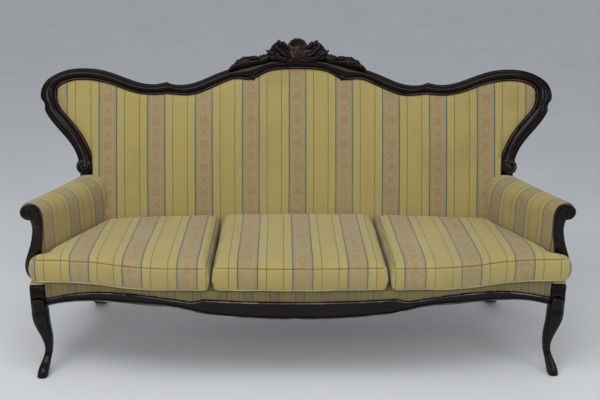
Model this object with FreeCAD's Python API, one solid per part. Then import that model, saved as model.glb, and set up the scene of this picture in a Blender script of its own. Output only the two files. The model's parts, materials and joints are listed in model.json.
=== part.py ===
import FreeCAD, Part
import math
import os

from FreeCAD import Vector

# Cabriole sofa: show-wood frame, one upholstered back, rolled arms and three loose seat cushions.
# Millimetres, +Z up, front towards -Y, +X to the right as seen from the front.
# While the pieces are made, y = 0 lies near the fronts of the arm facings. The export moves the
# whole sofa so that its origin is the middle of its footprint on the floor.

# Running clearances between pieces that meet
gap = 0.3
soft_gap = 1.2

# Back: a shallow concave shell that leans back
recline = 18.0
bend_radius = 5600.0
back_foot_y = 484.0
back_foot_z = 465.0
frame_back_depth = 46.0
ledge_depth = 24.0
ledge_width = 20.0
post_back_depth = 62.0

# Show-wood moulding of the back rails
lip_height = 3.0
roll_height = 14.0
bead_width = 5.0
bead_height = 4.0
groove_width = 3.0
back_edge_round = 8.0

# Shell at the top of the central carving
shell_radius = 38.0
shell_s = 704.0

# Seat
rail_bottom_z = 284.0
rail_top_z = 330.0
leg_head_top_z = 352.0
deck_top_z = 366.0
seam_z = 455.0
crown_height = 24.0
rail_thickness = 36.0

# Front line of the cushions in plan: straight middle, reverse curve, straight ends
bow_front_y = -112.0
bow_end_y = -30.0
bow_flat_x = 450.0
bow_end_x = 930.0

# Setbacks from that front line
apron_setback = 15.0
apron_thickness = 22.0
border_setback = 20.0
border_low_z = 296.0
rail_setback = apron_setback + apron_thickness + gap
rail_hidden_by = 9.0
side_apron_thickness = 16.0
side_apron_low_z = 268.0
side_apron_top_z = 334.0
cross_rail_width = 36.0
corner_block_size = 70.0

# Legs
leg_inner_x = 947.0
leg_head_width = 56.0
leg_head_front_y = -18.0
leg_head_depth = 80.0
leg_block_z = 262.0

# Arms
facing_front_y = 39.0
facing_thickness = 23.0
arm_inner_front_x = 954.0
arm_inner_rear_x = 797.0
arm_inner_rear_y = 430.0
scroll_x = 1000.0
scroll_z = 617.0
scroll_radius = 26.0
facing_step = 4.0

# Back posts, centred under the scrolls of the back rails
volute_centre = (882.0, 195.0)
volute_radius = 33.0
post_width = 50.0
post_inner_x = volute_centre[0] - post_width / 2
post_joint_s = 150.0
lower_rail_s = -75.0

# Loose cushions
cushion_joint_x = 323.5
cushion_side_clear = 7.5
centre_proud = 4.0
centre_bow = 9.0
ear_outer_x = 1006.0
ear_back_y = 32.0
cover_thickness = 2.0

# Fabric layers
web_thickness = 1.5
canvas_thickness = 1.0
cover_cloth = 1.5
web_width = 50.0
web_side_clear = 8.0
dowel_radius = 5.0
dowel_half_length = 16.0
back_web_x = (-780.0, -620.0, -460.0, -160.0, 0.0, 160.0, 460.0, 620.0, 780.0)
back_web_s = (60.0, 230.0, 400.0)
seat_web_x = (-820.0, -690.0, -560.0, -430.0, -215.0, -85.0, 85.0, 215.0, 430.0, 560.0, 690.0, 820.0)
seat_web_y = (40.0, 160.0, 280.0)

# Stuffed back: how far its shell stands forward at each height up the slope
pad_inset = 1.5
pad_clearance = 2.5
pad_low_x = 905.0
lining_low_x = 850.0
pad_low_s = -95.0
back_crowns = [(-110, 0), (10, 1), (120, 9), (280, 16), (450, 12), (560, 5), (640, 1), (700, 0)]

lean = math.radians(recline)
facing_back_y = facing_front_y + facing_thickness
leg_outer_x = leg_inner_x + leg_head_width
leg_head_back_y = leg_head_front_y + leg_head_depth
web_back_d = gap - ledge_depth
canvas_front_d = web_back_d + 2 * web_thickness + 0.4 + canvas_thickness


# Small helpers
def mirrored(shape):
    return shape.mirror(Vector(0, 0, 0), Vector(1, 0, 0))


def line(a, b):
    return Part.LineSegment(a, b).toShape()


def arc(a, b, c):
    return Part.Arc(a, b, c).toShape()


def gentle(a, middle, b):
    """Shallow curve from a to b through its middle."""
    curve = Part.BezierCurve()
    curve.setPoles([a, middle * 2 - (a + b) * 0.5, b])
    return curve.toShape()


def corner_curve(a, corner, b):
    """Quarter turn from a to b, tangent to the two sides that meet in the corner."""
    curve = Part.BezierCurve()
    curve.setPoles([a, a + (corner - a) * 0.55, b + (corner - b) * 0.55, b])
    return curve.toShape()


def spline(points):
    curve = Part.BSplineCurve()
    curve.interpolate(points)
    return curve.toShape()


def prism(edges, direction):
    return Part.Face(Part.Wire(edges)).extrude(direction)


def block(x0, x1, y0, y1, z0, z1):
    return Part.makeBox(x1 - x0, y1 - y0, z1 - z0, Vector(x0, y0, z0))


def polygon_prism(points, direction):
    return Part.Face(Part.makePolygon(points + [points[0]])).extrude(direction)


def loft(wires, ruled=False):
    return Part.makeLoft(wires, True, ruled)


def moved(shape, up, forward):
    """Copy shifted up the slope of the back and forward of it."""
    copy = shape.copy()
    copy.translate(Vector(0, up, forward))
    return copy


# The back's own frame: x across, s up the slope, d forward of the shell
def bend(x, d=0.0):
    return bend_radius - math.sqrt((bend_radius - d) ** 2 - x * x)


def to_sofa(shape):
    placed = shape.copy()
    turn = FreeCAD.Rotation(Vector(1, 0, 0), 90.0 - recline)
    placed.Placement = FreeCAD.Placement(Vector(0, back_foot_y, back_foot_z), turn)
    return placed


def back_y(x, z, d=0.0):
    return back_foot_y + (z - back_foot_z) * math.tan(lean) - bend(x, d) / math.cos(lean)


def shell_slab(d0, d1, s0, s1, half=1150.0):
    def across(d):
        return arc(Vector(-half, s0, bend(half, d)), Vector(0, s0, d), Vector(half, s0, bend(half, d)))

    near = across(d0)
    far = across(d1)
    sides = [line(near.Vertexes[i].Point, far.Vertexes[i].Point) for i in (0, 1)]
    return prism([near, sides[0], far, sides[1]], Vector(0, s1 - s0, 0))


def outline_on_shell(edges, d0, d1):
    lows = [e.BoundBox.YMin for e in edges]
    highs = [e.BoundBox.YMax for e in edges]
    bottom = min(lows) - 5
    top = max(highs) + 5
    flat = Part.Face(Part.Wire(edges))
    flat.translate(Vector(0, 0, min(d0, 0) - 150))
    column = flat.extrude(Vector(0, 0, 450))
    return column.common(shell_slab(d0, d1, bottom, top))


# Back rails: each station is the inner edge point and the outer edge point, (x, s)
crest_stations = [
    ((548, 504), (548, 551)),
    ((494, 499), (494, 540)),
    ((440, 501), (447, 546)),
    ((388, 519), (404, 561)),
    ((320, 550), (338, 590)),
    ((258, 570), (272, 614)),
    ((197, 567), (206, 634)),
    ((134, 598), (144, 652)),
    ((70, 611), (74, 664)),
    ((0, 614), (0, 668)),
]
ear_stations = [
    ((548, 504), (548, 551)),
    ((590, 499), (590, 542)),
    ((651, 501), (645, 544)),
    ((712, 516), (699, 559)),
    ((772, 538), (757, 580)),
    ((828, 551), (820, 597)),
    ((880, 556), (886, 601)),
    ((930, 551), (950, 592)),
    ((967, 537), (1000, 570)),
    ((988, 519), (1033, 543)),
    ((994, 496), (1052, 503)),
    ((990, 465), (1050, 468)),
    ((977, 432), (1038, 426)),
]
stile_stations = [
    ((977, 432), (1038, 426)),
    ((953, 402), (1016, 387)),
    ((925, 369), (986, 349)),
    ((893, 325), (954, 311)),
    ((868, 277), (926, 270)),
    ((853, 234), (909, 229)),
    ((849, 200), (905, 199)),
]


def rail_section(inner, outer):
    """Moulded section: upholstery ledge, inner bead, broad roll, fillet and outer bead."""
    width = math.hypot(outer[0] - inner[0], outer[1] - inner[1])

    def at(u, d):
        k = u / width
        x = inner[0] + (outer[0] - inner[0]) * k
        s = inner[1] + (outer[1] - inner[1]) * k
        return Vector(x, s, bend(x, d))

    def bead(start, low, end_low):
        top = max(low, end_low) + bead_height / 2
        return [at(start, low), at(start + 1.2, top), at(start + bead_width - 1.2, top),
                at(start + bead_width, end_low)]

    roll_start = bead_width + groove_width
    roll_end = width - bead_width - groove_width
    roll_middle = roll_start + (roll_end - roll_start) * 0.45
    foot = at(-ledge_width, -frame_back_depth)
    ledge = at(-ledge_width, -ledge_depth)
    corner = at(0, -ledge_depth)
    inner_bead = bead(0, lip_height, lip_height)
    outer_bead = bead(width - bead_width, lip_height - 1, lip_height - 3)
    roll_a = at(roll_start, lip_height)
    roll_b = at(roll_end, lip_height)
    round_a = at(width, back_edge_round - frame_back_depth)
    round_b = at(width - back_edge_round, -frame_back_depth)
    before = [foot, ledge, corner] + inner_bead + [roll_a]
    after = [roll_b] + outer_bead + [round_a, round_b, foot]
    edges = [line(a, b) for a, b in zip(before[:-1], before[1:])]
    edges.append(gentle(roll_a, at(roll_middle, roll_height), roll_b))
    edges += [line(a, b) for a, b in zip(after[:-1], after[1:])]
    return Part.Wire(edges)


def crest_rail():
    left = [((-a[0], a[1]), (-b[0], b[1])) for a, b in crest_stations]
    stations = left[:-1] + crest_stations[::-1]
    return loft([rail_section(a, b) for a, b in stations])


def ear_rail():
    return loft([rail_section(a, b) for a, b in ear_stations])


def volute():
    """Turned scroll boss: rim, hollow and eye, on the axis of the scroll."""
    r = volute_radius
    base = -ledge_depth - 8
    profile = [
        Vector(0, 0, base),
        Vector(r, 0, base),
        Vector(r, 0, 6),
        Vector(r - 5, 0, 11),
        Vector(r - 12, 0, 12),
        Vector(r - 17, 0, 7),
        Vector(10, 0, 7),
        Vector(9, 0, 14),
        Vector(0, 0, 17),
    ]
    x, s = volute_centre
    turned = Part.Face(Part.makePolygon(profile + [profile[0]])).revolve(
        Vector(0, 0, 0), Vector(0, 0, 1), 360)
    turned.translate(Vector(x, s, bend(x)))
    return turned


def wing_stile():
    body = loft([rail_section(a, b) for a, b in stile_stations])
    x0 = post_inner_x
    x1 = post_inner_x + post_width
    top = stile_stations[-1][0][1] + 4
    depth = bend(post_inner_x)
    stub = block(x0, x1, post_joint_s, top, depth - frame_back_depth, depth - ledge_depth)
    return body.fuse([volute(), stub]).removeSplitter()


# Plan curve of the seat front
def bow_points(setback):
    rise = bow_end_y - bow_front_y
    run = bow_end_x - bow_flat_x
    radius = (run ** 2 + rise ** 2) / (4 * rise)
    near = Vector(bow_flat_x, bow_front_y + radius, 0)
    far = Vector(bow_end_x, bow_end_y - radius, 0)
    turn = math.atan2(run, 2 * radius - rise)
    inner = radius - setback
    outer = radius + setback

    def on_near(angle):
        return near + Vector(inner * math.sin(angle), -inner * math.cos(angle), 0)

    def on_far(angle):
        return far + Vector(-outer * math.sin(angle), outer * math.cos(angle), 0)

    return [
        Vector(bow_flat_x, bow_front_y + setback, 0),
        on_near(turn / 2),
        on_near(turn),
        on_far(turn / 2),
        Vector(bow_end_x, bow_end_y + setback, 0),
    ]


def bow_half(setback, x_start, x_end):
    a, b, c, d, e = bow_points(setback)
    start = Vector(x_start, a.y, 0)
    end = Vector(x_end, e.y, 0)
    return [line(start, a), arc(a, b, c), arc(c, d, e), line(e, end)]


def bow_band(front, back, x_end, z0, z1):
    """Vertical band that follows the front line, from one setback to another."""
    halves = []
    for setback in (front, back):
        right = bow_half(setback, 0, x_end)
        halves.append(right + [mirrored(e) for e in right])
    y_front = bow_end_y + front
    y_back = bow_end_y + back
    caps = [line(Vector(k * x_end, y_front, 0), Vector(k * x_end, y_back, 0)) for k in (-1, 1)]
    wire = Part.Wire(Part.__sortEdges__(halves[0] + halves[1] + caps))
    band = Part.Face(wire).extrude(Vector(0, 0, z1 - z0))
    band.translate(Vector(0, 0, z0))
    return band


# Front apron
def apron_outline(lift, x_end):
    """Front view of the apron: drooping middle, cusps and arched wings. lift raises the top."""
    top = [(x_end, 299), (891, 311), (813, 326), (736, 337), (621, 345), (528, 341), (456, 331), (396, 321)]
    low = [(329, 273), (384, 286), (457, 304), (530, 311), (623, 311), (738, 303), (874, 288), (x_end, 272)]
    top_points = [Vector(x, -400, z + lift) for x, z in top]
    low_points = [Vector(x, -400, z) for x, z in low]
    cusp = Vector(352, -400, 331 + lift)
    right = [
        line(low_points[-1], top_points[0]),
        spline(top_points),
        arc(top_points[-1], Vector(378, -400, 324 + lift), cusp),
        spline(low_points),
    ]
    left = [mirrored(e) for e in right]
    middle_top = arc(cusp, Vector(0, -400, 319 + lift), Vector(-cusp.x, -400, cusp.z))
    middle_low = arc(low_points[0], Vector(0, -400, 254), Vector(-329, -400, 273))
    edges = right + left + [middle_top, middle_low]
    return Part.Face(Part.Wire(Part.__sortEdges__(edges)))


def apron_prism(lift, drop, x_end):
    face = apron_outline(lift, x_end)
    face.translate(Vector(0, 0, drop))
    return face.extrude(Vector(0, 600, 0))


def front_apron():
    x_end = leg_inner_x - gap
    back = apron_setback + apron_thickness
    board = bow_band(apron_setback + 4, back, x_end, 200, 400).common(apron_prism(0, 0, x_end))
    rim = bow_band(apron_setback, apron_setback + 5, x_end, 200, 400)
    top_bead = rim.common(apron_prism(0, 0, x_end)).cut(apron_prism(0, -9, x_end))
    low_bead = rim.common(apron_prism(0, 0, x_end)).cut(apron_prism(20, 8, x_end))
    return board.fuse([top_bead, low_bead]).removeSplitter()


def front_border():
    """Upholstered strip between the cushions and the apron."""
    x_end = leg_inner_x - gap
    strip = bow_band(border_setback, apron_setback + apron_thickness, x_end, border_low_z, deck_top_z)
    return strip.cut(apron_prism(gap, 0, x_end + 1)).cut(apron_prism(0, -20, x_end + 1))


def front_rail():
    """Rail behind the apron, arched underneath so that it stays out of sight."""
    x_end = leg_inner_x - gap
    band = bow_band(rail_setback, rail_setback + rail_thickness, x_end, rail_bottom_z, rail_top_z)
    return band.common(apron_prism(100, -rail_hidden_by, x_end + 1))


# Legs
leg_levels = [
    # z, centre x, centre y, half width, half depth
    (leg_block_z, 972, -4, 29, 32),
    (225, 968, -14, 30, 30),
    (185, 960, -16, 25, 25),
    (145, 949, -10, 20, 20),
    (100, 946, -8, 18, 18),
    (60, 957, -22, 20, 20),
    (30, 969, -42, 23, 24),
    (0, 972, -56, 20, 20),
]


def rounded_square(z, x, y, a, b, corner=0.45):
    c = corner * min(a, b)
    corners = []
    for sx, sy in ((1, -1), (1, 1), (-1, 1), (-1, -1)):
        along_x = Vector(x + sx * (a - c), y + sy * b, z)
        along_y = Vector(x + sx * a, y + sy * (b - c), z)
        point = Vector(x + sx * a, y + sy * b, z)
        first, last = (along_x, along_y) if sx * sy < 0 else (along_y, along_x)
        corners.append((first, point, last))
    edges = []
    for i, (first, point, last) in enumerate(corners):
        edges.append(corner_curve(first, point, last))
        edges.append(line(last, corners[(i + 1) % 4][0]))
    return Part.Wire(edges)


def front_leg():
    foot = loft([rounded_square(*level) for level in leg_levels])
    head = block(leg_inner_x, leg_outer_x, leg_head_front_y, leg_head_back_y, leg_block_z, leg_head_top_z)
    head_height = leg_head_top_z - leg_block_z
    head = head.makeFillet(5, [e for e in head.Edges if abs(e.BoundBox.ZLength - head_height) < 1])
    return foot.fuse(head).removeSplitter()


def post_point(s, d):
    depth = bend(post_inner_x) + d
    y = back_foot_y + s * math.sin(lean) - depth * math.cos(lean)
    z = back_foot_z + s * math.cos(lean) + depth * math.sin(lean)
    return y, z


def rear_leg():
    """Back post and raked sabre leg, sawn from one plank."""
    x0 = post_inner_x
    top_front = post_point(post_joint_s - gap, -ledge_depth)
    top_back = post_point(post_joint_s - gap, -post_back_depth)
    seat_front = post_point(-120, -ledge_depth)
    seat_back = post_point(-120, -post_back_depth)

    def at(p):
        return Vector(x0, p[0], p[1])

    front = (582, 0)
    back = (620, 0)
    edges = [
        line(at(top_back), at(top_front)),
        line(at(top_front), at(seat_front)),
        spline([at(seat_front), at((seat_front[0] - 2, 300)), at((428, 200)), at((490, 95)), at(front)]),
        line(at(front), at(back)),
        spline([at(back), at((532, 100)), at((474, 200)), at((444, 300)), at(seat_back)]),
        line(at(seat_back), at(top_back)),
    ]
    return prism(edges, Vector(post_width, 0, 0))


# Seat frame
side_front_y = leg_head_back_y + gap
side_rear_y = 400.0
side_front_x = 1000.0
side_rear_x = 905.0
tack_setback = 3.5


def side_outer_x(y):
    k = (y - side_front_y) / (side_rear_y - side_front_y)
    return side_front_x + (side_rear_x - side_front_x) * k


def side_bar(x_in, x_out, z0, z1, y0=side_front_y, y1=side_rear_y):
    """Straight bar along the splayed side; x_in and x_out are distances inside the outer line."""
    points = [
        Vector(side_outer_x(y0) - x_out, y0, z0),
        Vector(side_outer_x(y1) - x_out, y1, z0),
        Vector(side_outer_x(y1) - x_in, y1, z0),
        Vector(side_outer_x(y0) - x_in, y0, z0),
    ]
    return polygon_prism(points, Vector(0, 0, z1 - z0))


def side_rail():
    return side_bar(rail_thickness, 0, rail_bottom_z, rail_top_z, y1=425.0).cut(rear_leg())


def side_apron():
    """Show-wood board outside the side rail, arched along its lower edge."""
    board = side_bar(-gap, -gap - side_apron_thickness, side_apron_low_z, side_apron_top_z)
    y_mid = (side_front_y + side_rear_y) / 2
    low = [Vector(800, side_front_y + 14, side_apron_low_z), Vector(800, y_mid, side_apron_low_z + 14),
           Vector(800, side_rear_y - 14, side_apron_low_z)]
    arch = prism([arc(*low), line(low[2], low[0])], Vector(300, 0, 0))
    return board.cut(arch)


def rear_rail():
    """Curved in plan like the back it carries."""
    x_end = post_inner_x - gap

    def across(d):
        y_end = back_y(x_end, rail_top_z, d)
        return arc(Vector(-x_end, y_end, rail_bottom_z), Vector(0, back_y(0, rail_top_z, d), rail_bottom_z),
                   Vector(x_end, y_end, rail_bottom_z))

    front = across(-ledge_depth)
    back = across(-ledge_depth - rail_thickness)
    caps = [line(front.Vertexes[i].Point, back.Vertexes[i].Point) for i in (0, 1)]
    return prism([front, caps[0], back, caps[1]], Vector(0, 0, rail_top_z - rail_bottom_z))


def cross_rails():
    """Two stretchers from the front rail to the rear rail, kept below the webbing."""
    front_y = bow_front_y + rail_setback + rail_thickness + gap
    half = cross_rail_width / 2
    rails = []
    for x in (-cushion_joint_x, cushion_joint_x):
        rear_y = back_y(cushion_joint_x + half, rail_top_z, -ledge_depth) - gap
        rails.append(block(x - half, x + half, front_y, rear_y, rail_bottom_z, rail_top_z - 12))
    return Part.makeCompound(rails)


def corner_blocks():
    """Triangular blocks glued into the four corners of the seat frame."""
    z0 = rail_bottom_z + 8
    front_y = bow_end_y + rail_setback + rail_thickness + gap
    rear_y = back_y(post_inner_x, rail_top_z, -ledge_depth) - gap

    def inside(y):
        return side_outer_x(y) - rail_thickness - gap

    front_x = min(leg_inner_x - gap, inside(front_y))
    front = [Vector(front_x, front_y, z0), Vector(front_x - corner_block_size, front_y, z0),
             Vector(min(front_x, inside(front_y + corner_block_size)), front_y + corner_block_size, z0)]
    rear_x = inside(rear_y)
    rear = [Vector(rear_x, rear_y, z0), Vector(rear_x - corner_block_size, rear_y, z0),
            Vector(inside(rear_y - corner_block_size), rear_y - corner_block_size, z0)]
    right = [polygon_prism(p, Vector(0, 0, rail_top_z - 2 - z0)) for p in (front, rear)]
    return Part.makeCompound(right + [mirrored(b) for b in right])


# Arms
def facing_outline(inset, y):
    """Front view of the facing: a reversed curve that ends in an outward scroll."""
    outer = [(1003, leg_head_top_z + gap), (1022, 378), (1027, 405), (1021, 437), (1003, 485), (990, 533),
             (987, 558), (989, 580), (993, 592)]
    inner = [(957, 625), (951, 603), (949.5, 570), (953, 530), (961, 485), (966, 445), (964, 400),
             (950, leg_head_top_z + gap)]
    scroll_side = Vector(scroll_x + scroll_radius - inset, y, scroll_z)
    scroll_top = Vector(scroll_x + 2, y, scroll_z + scroll_radius + 5 - inset)
    outer_points = [Vector(x - inset, y, z) for x, z in outer[:-1]]
    neck = Vector(outer[-1][0] - inset * 0.8, y, outer[-1][1] + inset * 0.8)
    inner_points = [Vector(x + inset, y, z) for x, z in inner]
    edges = [
        spline(outer_points + [neck]),
        arc(neck, Vector(1015, y, 597.5 + inset), scroll_side),
        arc(scroll_side, Vector(1020 - inset * 0.7, y, 638 - inset * 0.7), scroll_top),
        arc(scroll_top, Vector(972 + inset * 0.4, y, 644 - inset), inner_points[0]),
        spline(inner_points),
        line(inner_points[-1], outer_points[0]),
    ]
    return Part.Face(Part.Wire(edges))


def arm_facing():
    """Sawn board with a raised field and a turned eye in its scroll."""
    board = facing_outline(0, facing_back_y).extrude(Vector(0, facing_step - facing_thickness, 0))
    middle_y = facing_back_y - facing_thickness / 2
    field = facing_outline(facing_step, middle_y).extrude(Vector(0, facing_front_y - middle_y, 0))
    eye = Part.makeCone(9, 6, 4, Vector(scroll_x, facing_front_y + 1, scroll_z), Vector(0, -1, 0))
    return board.fuse([field, eye])


def arm_section(y, points):
    a, b, m1, c, m2, d, m3, e, f, g = [Vector(x, y, z) for x, z in points]
    turns = [gentle(b, m1, c), gentle(c, m2, d), gentle(d, m3, e)]
    return Part.Wire([line(a, b)] + turns + [line(e, f), line(f, g), line(g, a)])


def arm_line(front, rear, y):
    """Point at depth y on the line from a front point to a rear point of the arm, (x, z)."""
    k = (y - facing_back_y) / (arm_inner_rear_y - facing_back_y)
    return front[0] + (rear[0] - front[0]) * k, front[1] + (rear[1] - front[1]) * k


arm_front = [
    (arm_inner_front_x, rail_top_z + gap), (arm_inner_front_x, 585), (963, 633), (1003, 653), (1026, 642),
    (1035, 615), (1027, 596), (1008, 588), (977, 572), (977, rail_top_z + gap),
]
arm_rear = [
    (arm_inner_rear_x, rail_top_z + gap), (arm_inner_rear_x, 540), (816, 611), (876, 637), (909, 628),
    (922, 602), (914, 584), (893, 575), (862, 560), (862, rail_top_z + gap),
]
arm_rail_front = [(986, 594), (1016, 594), (1016, 624), (986, 624)]
arm_rail_rear = [(870, 584), (900, 584), (900, 612), (870, 612)]


def arm_bar(grow, y0, y1):
    signs = [(-1, -1), (1, -1), (1, 1), (-1, 1)]
    wires = []
    for y in (y0, y1):
        corners = []
        for front, rear, sign in zip(arm_rail_front, arm_rail_rear, signs):
            x, z = arm_line(front, rear, y)
            corners.append(Vector(x + sign[0] * grow, y, z + sign[1] * grow))
        wires.append(Part.makePolygon(corners + [corners[0]]))
    return loft(wires, True)


def behind_back(d, z0=200, z1=760):
    """Everything behind the back shell at offset d, as one block."""
    return to_sofa(shell_slab(-400, d, (z0 - back_foot_z) - 60, (z1 - back_foot_z) + 60))


def arm_rail():
    """Wooden arm rail inside the roll, from the facing to the back post."""
    bar = arm_bar(0, facing_back_y + gap, 560)
    return bar.cut(post_front_block(gap))


def post_front_block(clear):
    low = post_point(-200, clear - ledge_depth)
    high = post_point(300, clear - ledge_depth)
    points = [Vector(700, low[0], low[1]), Vector(700, low[0] + 400, low[1]),
              Vector(700, high[0] + 400, high[1]), Vector(700, high[0], high[1])]
    return polygon_prism(points, Vector(400, 0, 0))


def arm_pad():
    """Stuffed inner arm and its roll, in one cover."""
    y0 = facing_back_y + gap
    y1 = 520
    wires = []
    for y in (y0, y1):
        wires.append(arm_section(y, [arm_line(f, r, y) for f, r in zip(arm_front, arm_rear)]))
    pad = loft(wires, True)
    pad = pad.cut(arm_bar(gap, y0 - 5, y1 + 5))
    return pad.cut(behind_back(pad_clearance))


def arm_cover():
    """Outside arm cloth from under the roll down to the side rail."""
    y0 = facing_back_y + gap
    y1 = 438
    wires = []
    for y in (y0, y1):
        x_low = side_outer_x(y) + gap
        x_high, top = arm_line((985, 575.8), (888, 572.2), y)
        z_low = side_apron_top_z + gap
        corners = [Vector(x_low, y, z_low), Vector(x_low + cover_cloth, y, z_low),
                   Vector(x_high + cover_cloth, y, top), Vector(x_high, y, top)]
        wires.append(Part.makePolygon(corners + [corners[0]]))
    return loft(wires, True).cut(behind_back(-ledge_depth - gap)).cut(post_column(gap))


def post_column(clear):
    return block(post_inner_x - clear, post_inner_x + post_width + clear, 380, 700, 0, 640)


def arm_tack_rail():
    """Slim rail above the side rail that the arm cloths are tacked to."""
    wires = []
    for y in (facing_back_y + gap, 402):
        x_in = arm_line((977, 0), (862, 0), y)[0] + gap
        x_out = side_outer_x(y) - tack_setback
        corners = [Vector(x_in, y, rail_top_z + gap), Vector(x_out, y, rail_top_z + gap),
                   Vector(x_out, y, rail_top_z + 40), Vector(x_in, y, rail_top_z + 40)]
        wires.append(Part.makePolygon(corners + [corners[0]]))
    return loft(wires, True).cut(post_front_block(gap))


# Back frame and upholstery
def inward(station, inset):
    inner, outer = station
    width = math.hypot(outer[0] - inner[0], outer[1] - inner[1])
    k = inset / width
    return Vector(inner[0] - (outer[0] - inner[0]) * k, inner[1] - (outer[1] - inner[1]) * k, 0)


def opening_edges(inset, low_x, low_s):
    """Closed outline of the upholstered back, inset from the inner edge of the show wood."""
    stile = [inward(p, inset) for p in stile_stations[::-1]]
    ear = [inward(p, inset) for p in ear_stations[1:]]
    side = stile + ear[::-1][1:] + [inward(ear_stations[0], inset)]
    crest = [inward(p, inset) for p in crest_stations]
    notch = Vector(stile[0].x, post_joint_s - gap, 0)
    corner = Vector(low_x, post_joint_s - gap, 0)
    foot = Vector(low_x, low_s, 0)
    right = [line(foot, corner), line(corner, notch), line(notch, stile[0]), spline(side)]
    left = [mirrored(e) for e in right]
    arch = spline([Vector(-p.x, p.y, 0) for p in crest[:-1]] + crest[::-1])
    return Part.__sortEdges__(right + left + [arch, line(foot, Vector(-low_x, low_s, 0))])


def back_pad():
    """Stuffed back in one piece, fullest at its middle and drawn in at the show wood."""
    column = Part.Face(Part.Wire(opening_edges(pad_inset, pad_low_x, pad_low_s)))
    column.translate(Vector(0, 0, -100))
    column = column.extrude(Vector(0, 0, 400))
    back_d = canvas_front_d + 0.2
    half = 1100.0
    wires = []
    for s, crown in back_crowns:
        far = arc(Vector(-half, s, bend(half, back_d)), Vector(0, s, back_d), Vector(half, s, bend(half, back_d)))
        near = arc(Vector(-half, s, bend(half) - crown * 0.5), Vector(0, s, crown),
                   Vector(half, s, bend(half) - crown * 0.5))
        sides = [line(far.Vertexes[i].Point, near.Vertexes[i].Point) for i in (0, 1)]
        wires.append(Part.Wire([far, sides[1], near, sides[0]]))
    pad = to_sofa(loft(wires).common(column))
    return pad.cut(arm_bar(soft_gap, 300, 560)).cut(mirrored(arm_bar(soft_gap, 300, 560)))


def back_strips(d0, d1, boxes):
    face = Part.Face(Part.Wire(opening_edges(6.0, lining_low_x, pad_low_s + 8)))
    face.translate(Vector(0, 0, -100))
    column = face.extrude(Vector(0, 0, 400))
    slab = shell_slab(d0, d1, -200, 700)
    return to_sofa(column.common(slab).common(Part.makeCompound(boxes)))


def back_webbing():
    """Upright webs over three level webs, tacked to the ledge of the frame."""
    half = web_width / 2
    uprights = [block(x - half, x + half, -300, 800, -100, 300) for x in back_web_x]
    levels = [block(-1200, 1200, s - half, s + half, -100, 300) for s in back_web_s]
    first = back_strips(web_back_d, web_back_d + web_thickness, levels)
    second_d = web_back_d + web_thickness + 0.2
    second = back_strips(second_d, second_d + web_thickness, uprights)
    return Part.makeCompound(first.Solids + second.Solids)


def back_canvas():
    outline = opening_edges(6.0, lining_low_x, pad_low_s + 8)
    return to_sofa(outline_on_shell(outline, canvas_front_d - canvas_thickness, canvas_front_d))


def back_outer_cover():
    """Plain cloth over the back of the frame, between the posts and inside the rail edges."""
    inset = 14.0
    stile = [outer_in(p, inset) for p in stile_stations[-2::-1]]
    ear = [outer_in(p, inset) for p in ear_stations[::-1][1:]]
    crest = [outer_in(p, inset) for p in crest_stations]
    notch_x = post_inner_x - 2 * gap
    step_s = stile[0].y - 8
    low = Vector(notch_x, -124, 0)
    corner = Vector(notch_x, step_s, 0)
    step = Vector(stile[0].x, step_s, 0)
    right = [line(low, corner), line(corner, step), line(step, stile[0]), spline(stile + ear)]
    left = [mirrored(e) for e in right]
    arch = spline([Vector(-p.x, p.y, 0) for p in crest[:-1]] + crest[::-1])
    edges = Part.__sortEdges__(right + left + [arch, line(low, Vector(-low.x, low.y, 0))])
    d = -frame_back_depth - gap
    return to_sofa(outline_on_shell(edges, d - cover_cloth, d))


def outer_in(station, inset):
    inner, outer = station
    width = math.hypot(outer[0] - inner[0], outer[1] - inner[1])
    k = inset / width
    return Vector(outer[0] - (outer[0] - inner[0]) * k, outer[1] - (outer[1] - inner[1]) * k, 0)


def back_lower_rail():
    x_end = post_inner_x - gap
    box = block(-x_end, x_end, lower_rail_s, lower_rail_s + 50, -200, 400)
    return to_sofa(shell_slab(-frame_back_depth, -ledge_depth, -200, 200).common(box))


def back_uprights(crest):
    """Two stays from the lower rail up to the crest rail."""
    half = 22.0
    boxes = [block(x - half, x + half, lower_rail_s + 50 + gap, 572, -200, 400) for x in (-290, 290)]
    slab = shell_slab(-frame_back_depth + 4, -ledge_depth - 1, -200, 700)
    return to_sofa(slab.common(Part.makeCompound(boxes)).cut(moved(crest, -2 * gap, 0)))


# Carving on the crest
def crest_cartouche(crest):
    """Central carving: scalloped shell over an oval boss, between curled shoulders."""
    d = -18.0
    side = [(118, 650), (119, 680), (110, 702), (94, 718), (76, 729), (62, 716)]
    shell_angles = [math.radians(a) for a in (8, 34, 60, 90)]
    scallops = []
    for angle in shell_angles:
        scallops.append((shell_radius * math.cos(angle), shell_s + shell_radius * math.sin(angle)))
    points = [Vector(x, s, d) for x, s in side + scallops]
    edges = []
    for i in range(2):
        edges.append(arc(points[2 * i], points[2 * i + 1], points[2 * i + 2]))
    edges.append(line(points[4], points[5]))
    edges.append(line(points[5], points[6]))
    for a, b in zip(points[6:-1], points[7:]):
        mid = (a + b) * 0.5
        out = Vector(mid.x, mid.y - shell_s, 0)
        out.normalize()
        edges.append(arc(a, mid + out * 5, b))
    left = [mirrored(e) for e in edges]
    base = [arc(points[0], Vector(0, 634, d), Vector(-points[0].x, points[0].y, d))]
    outline = Part.Wire(Part.__sortEdges__(edges + left + base))
    body = Part.Face(outline).extrude(Vector(0, 0, 44))
    body = body.cut([crest, moved(crest, gap, gap)])
    boss = oval_boss(0, 683, 22, 25, 26, 9)
    return body.fuse(boss)


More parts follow.
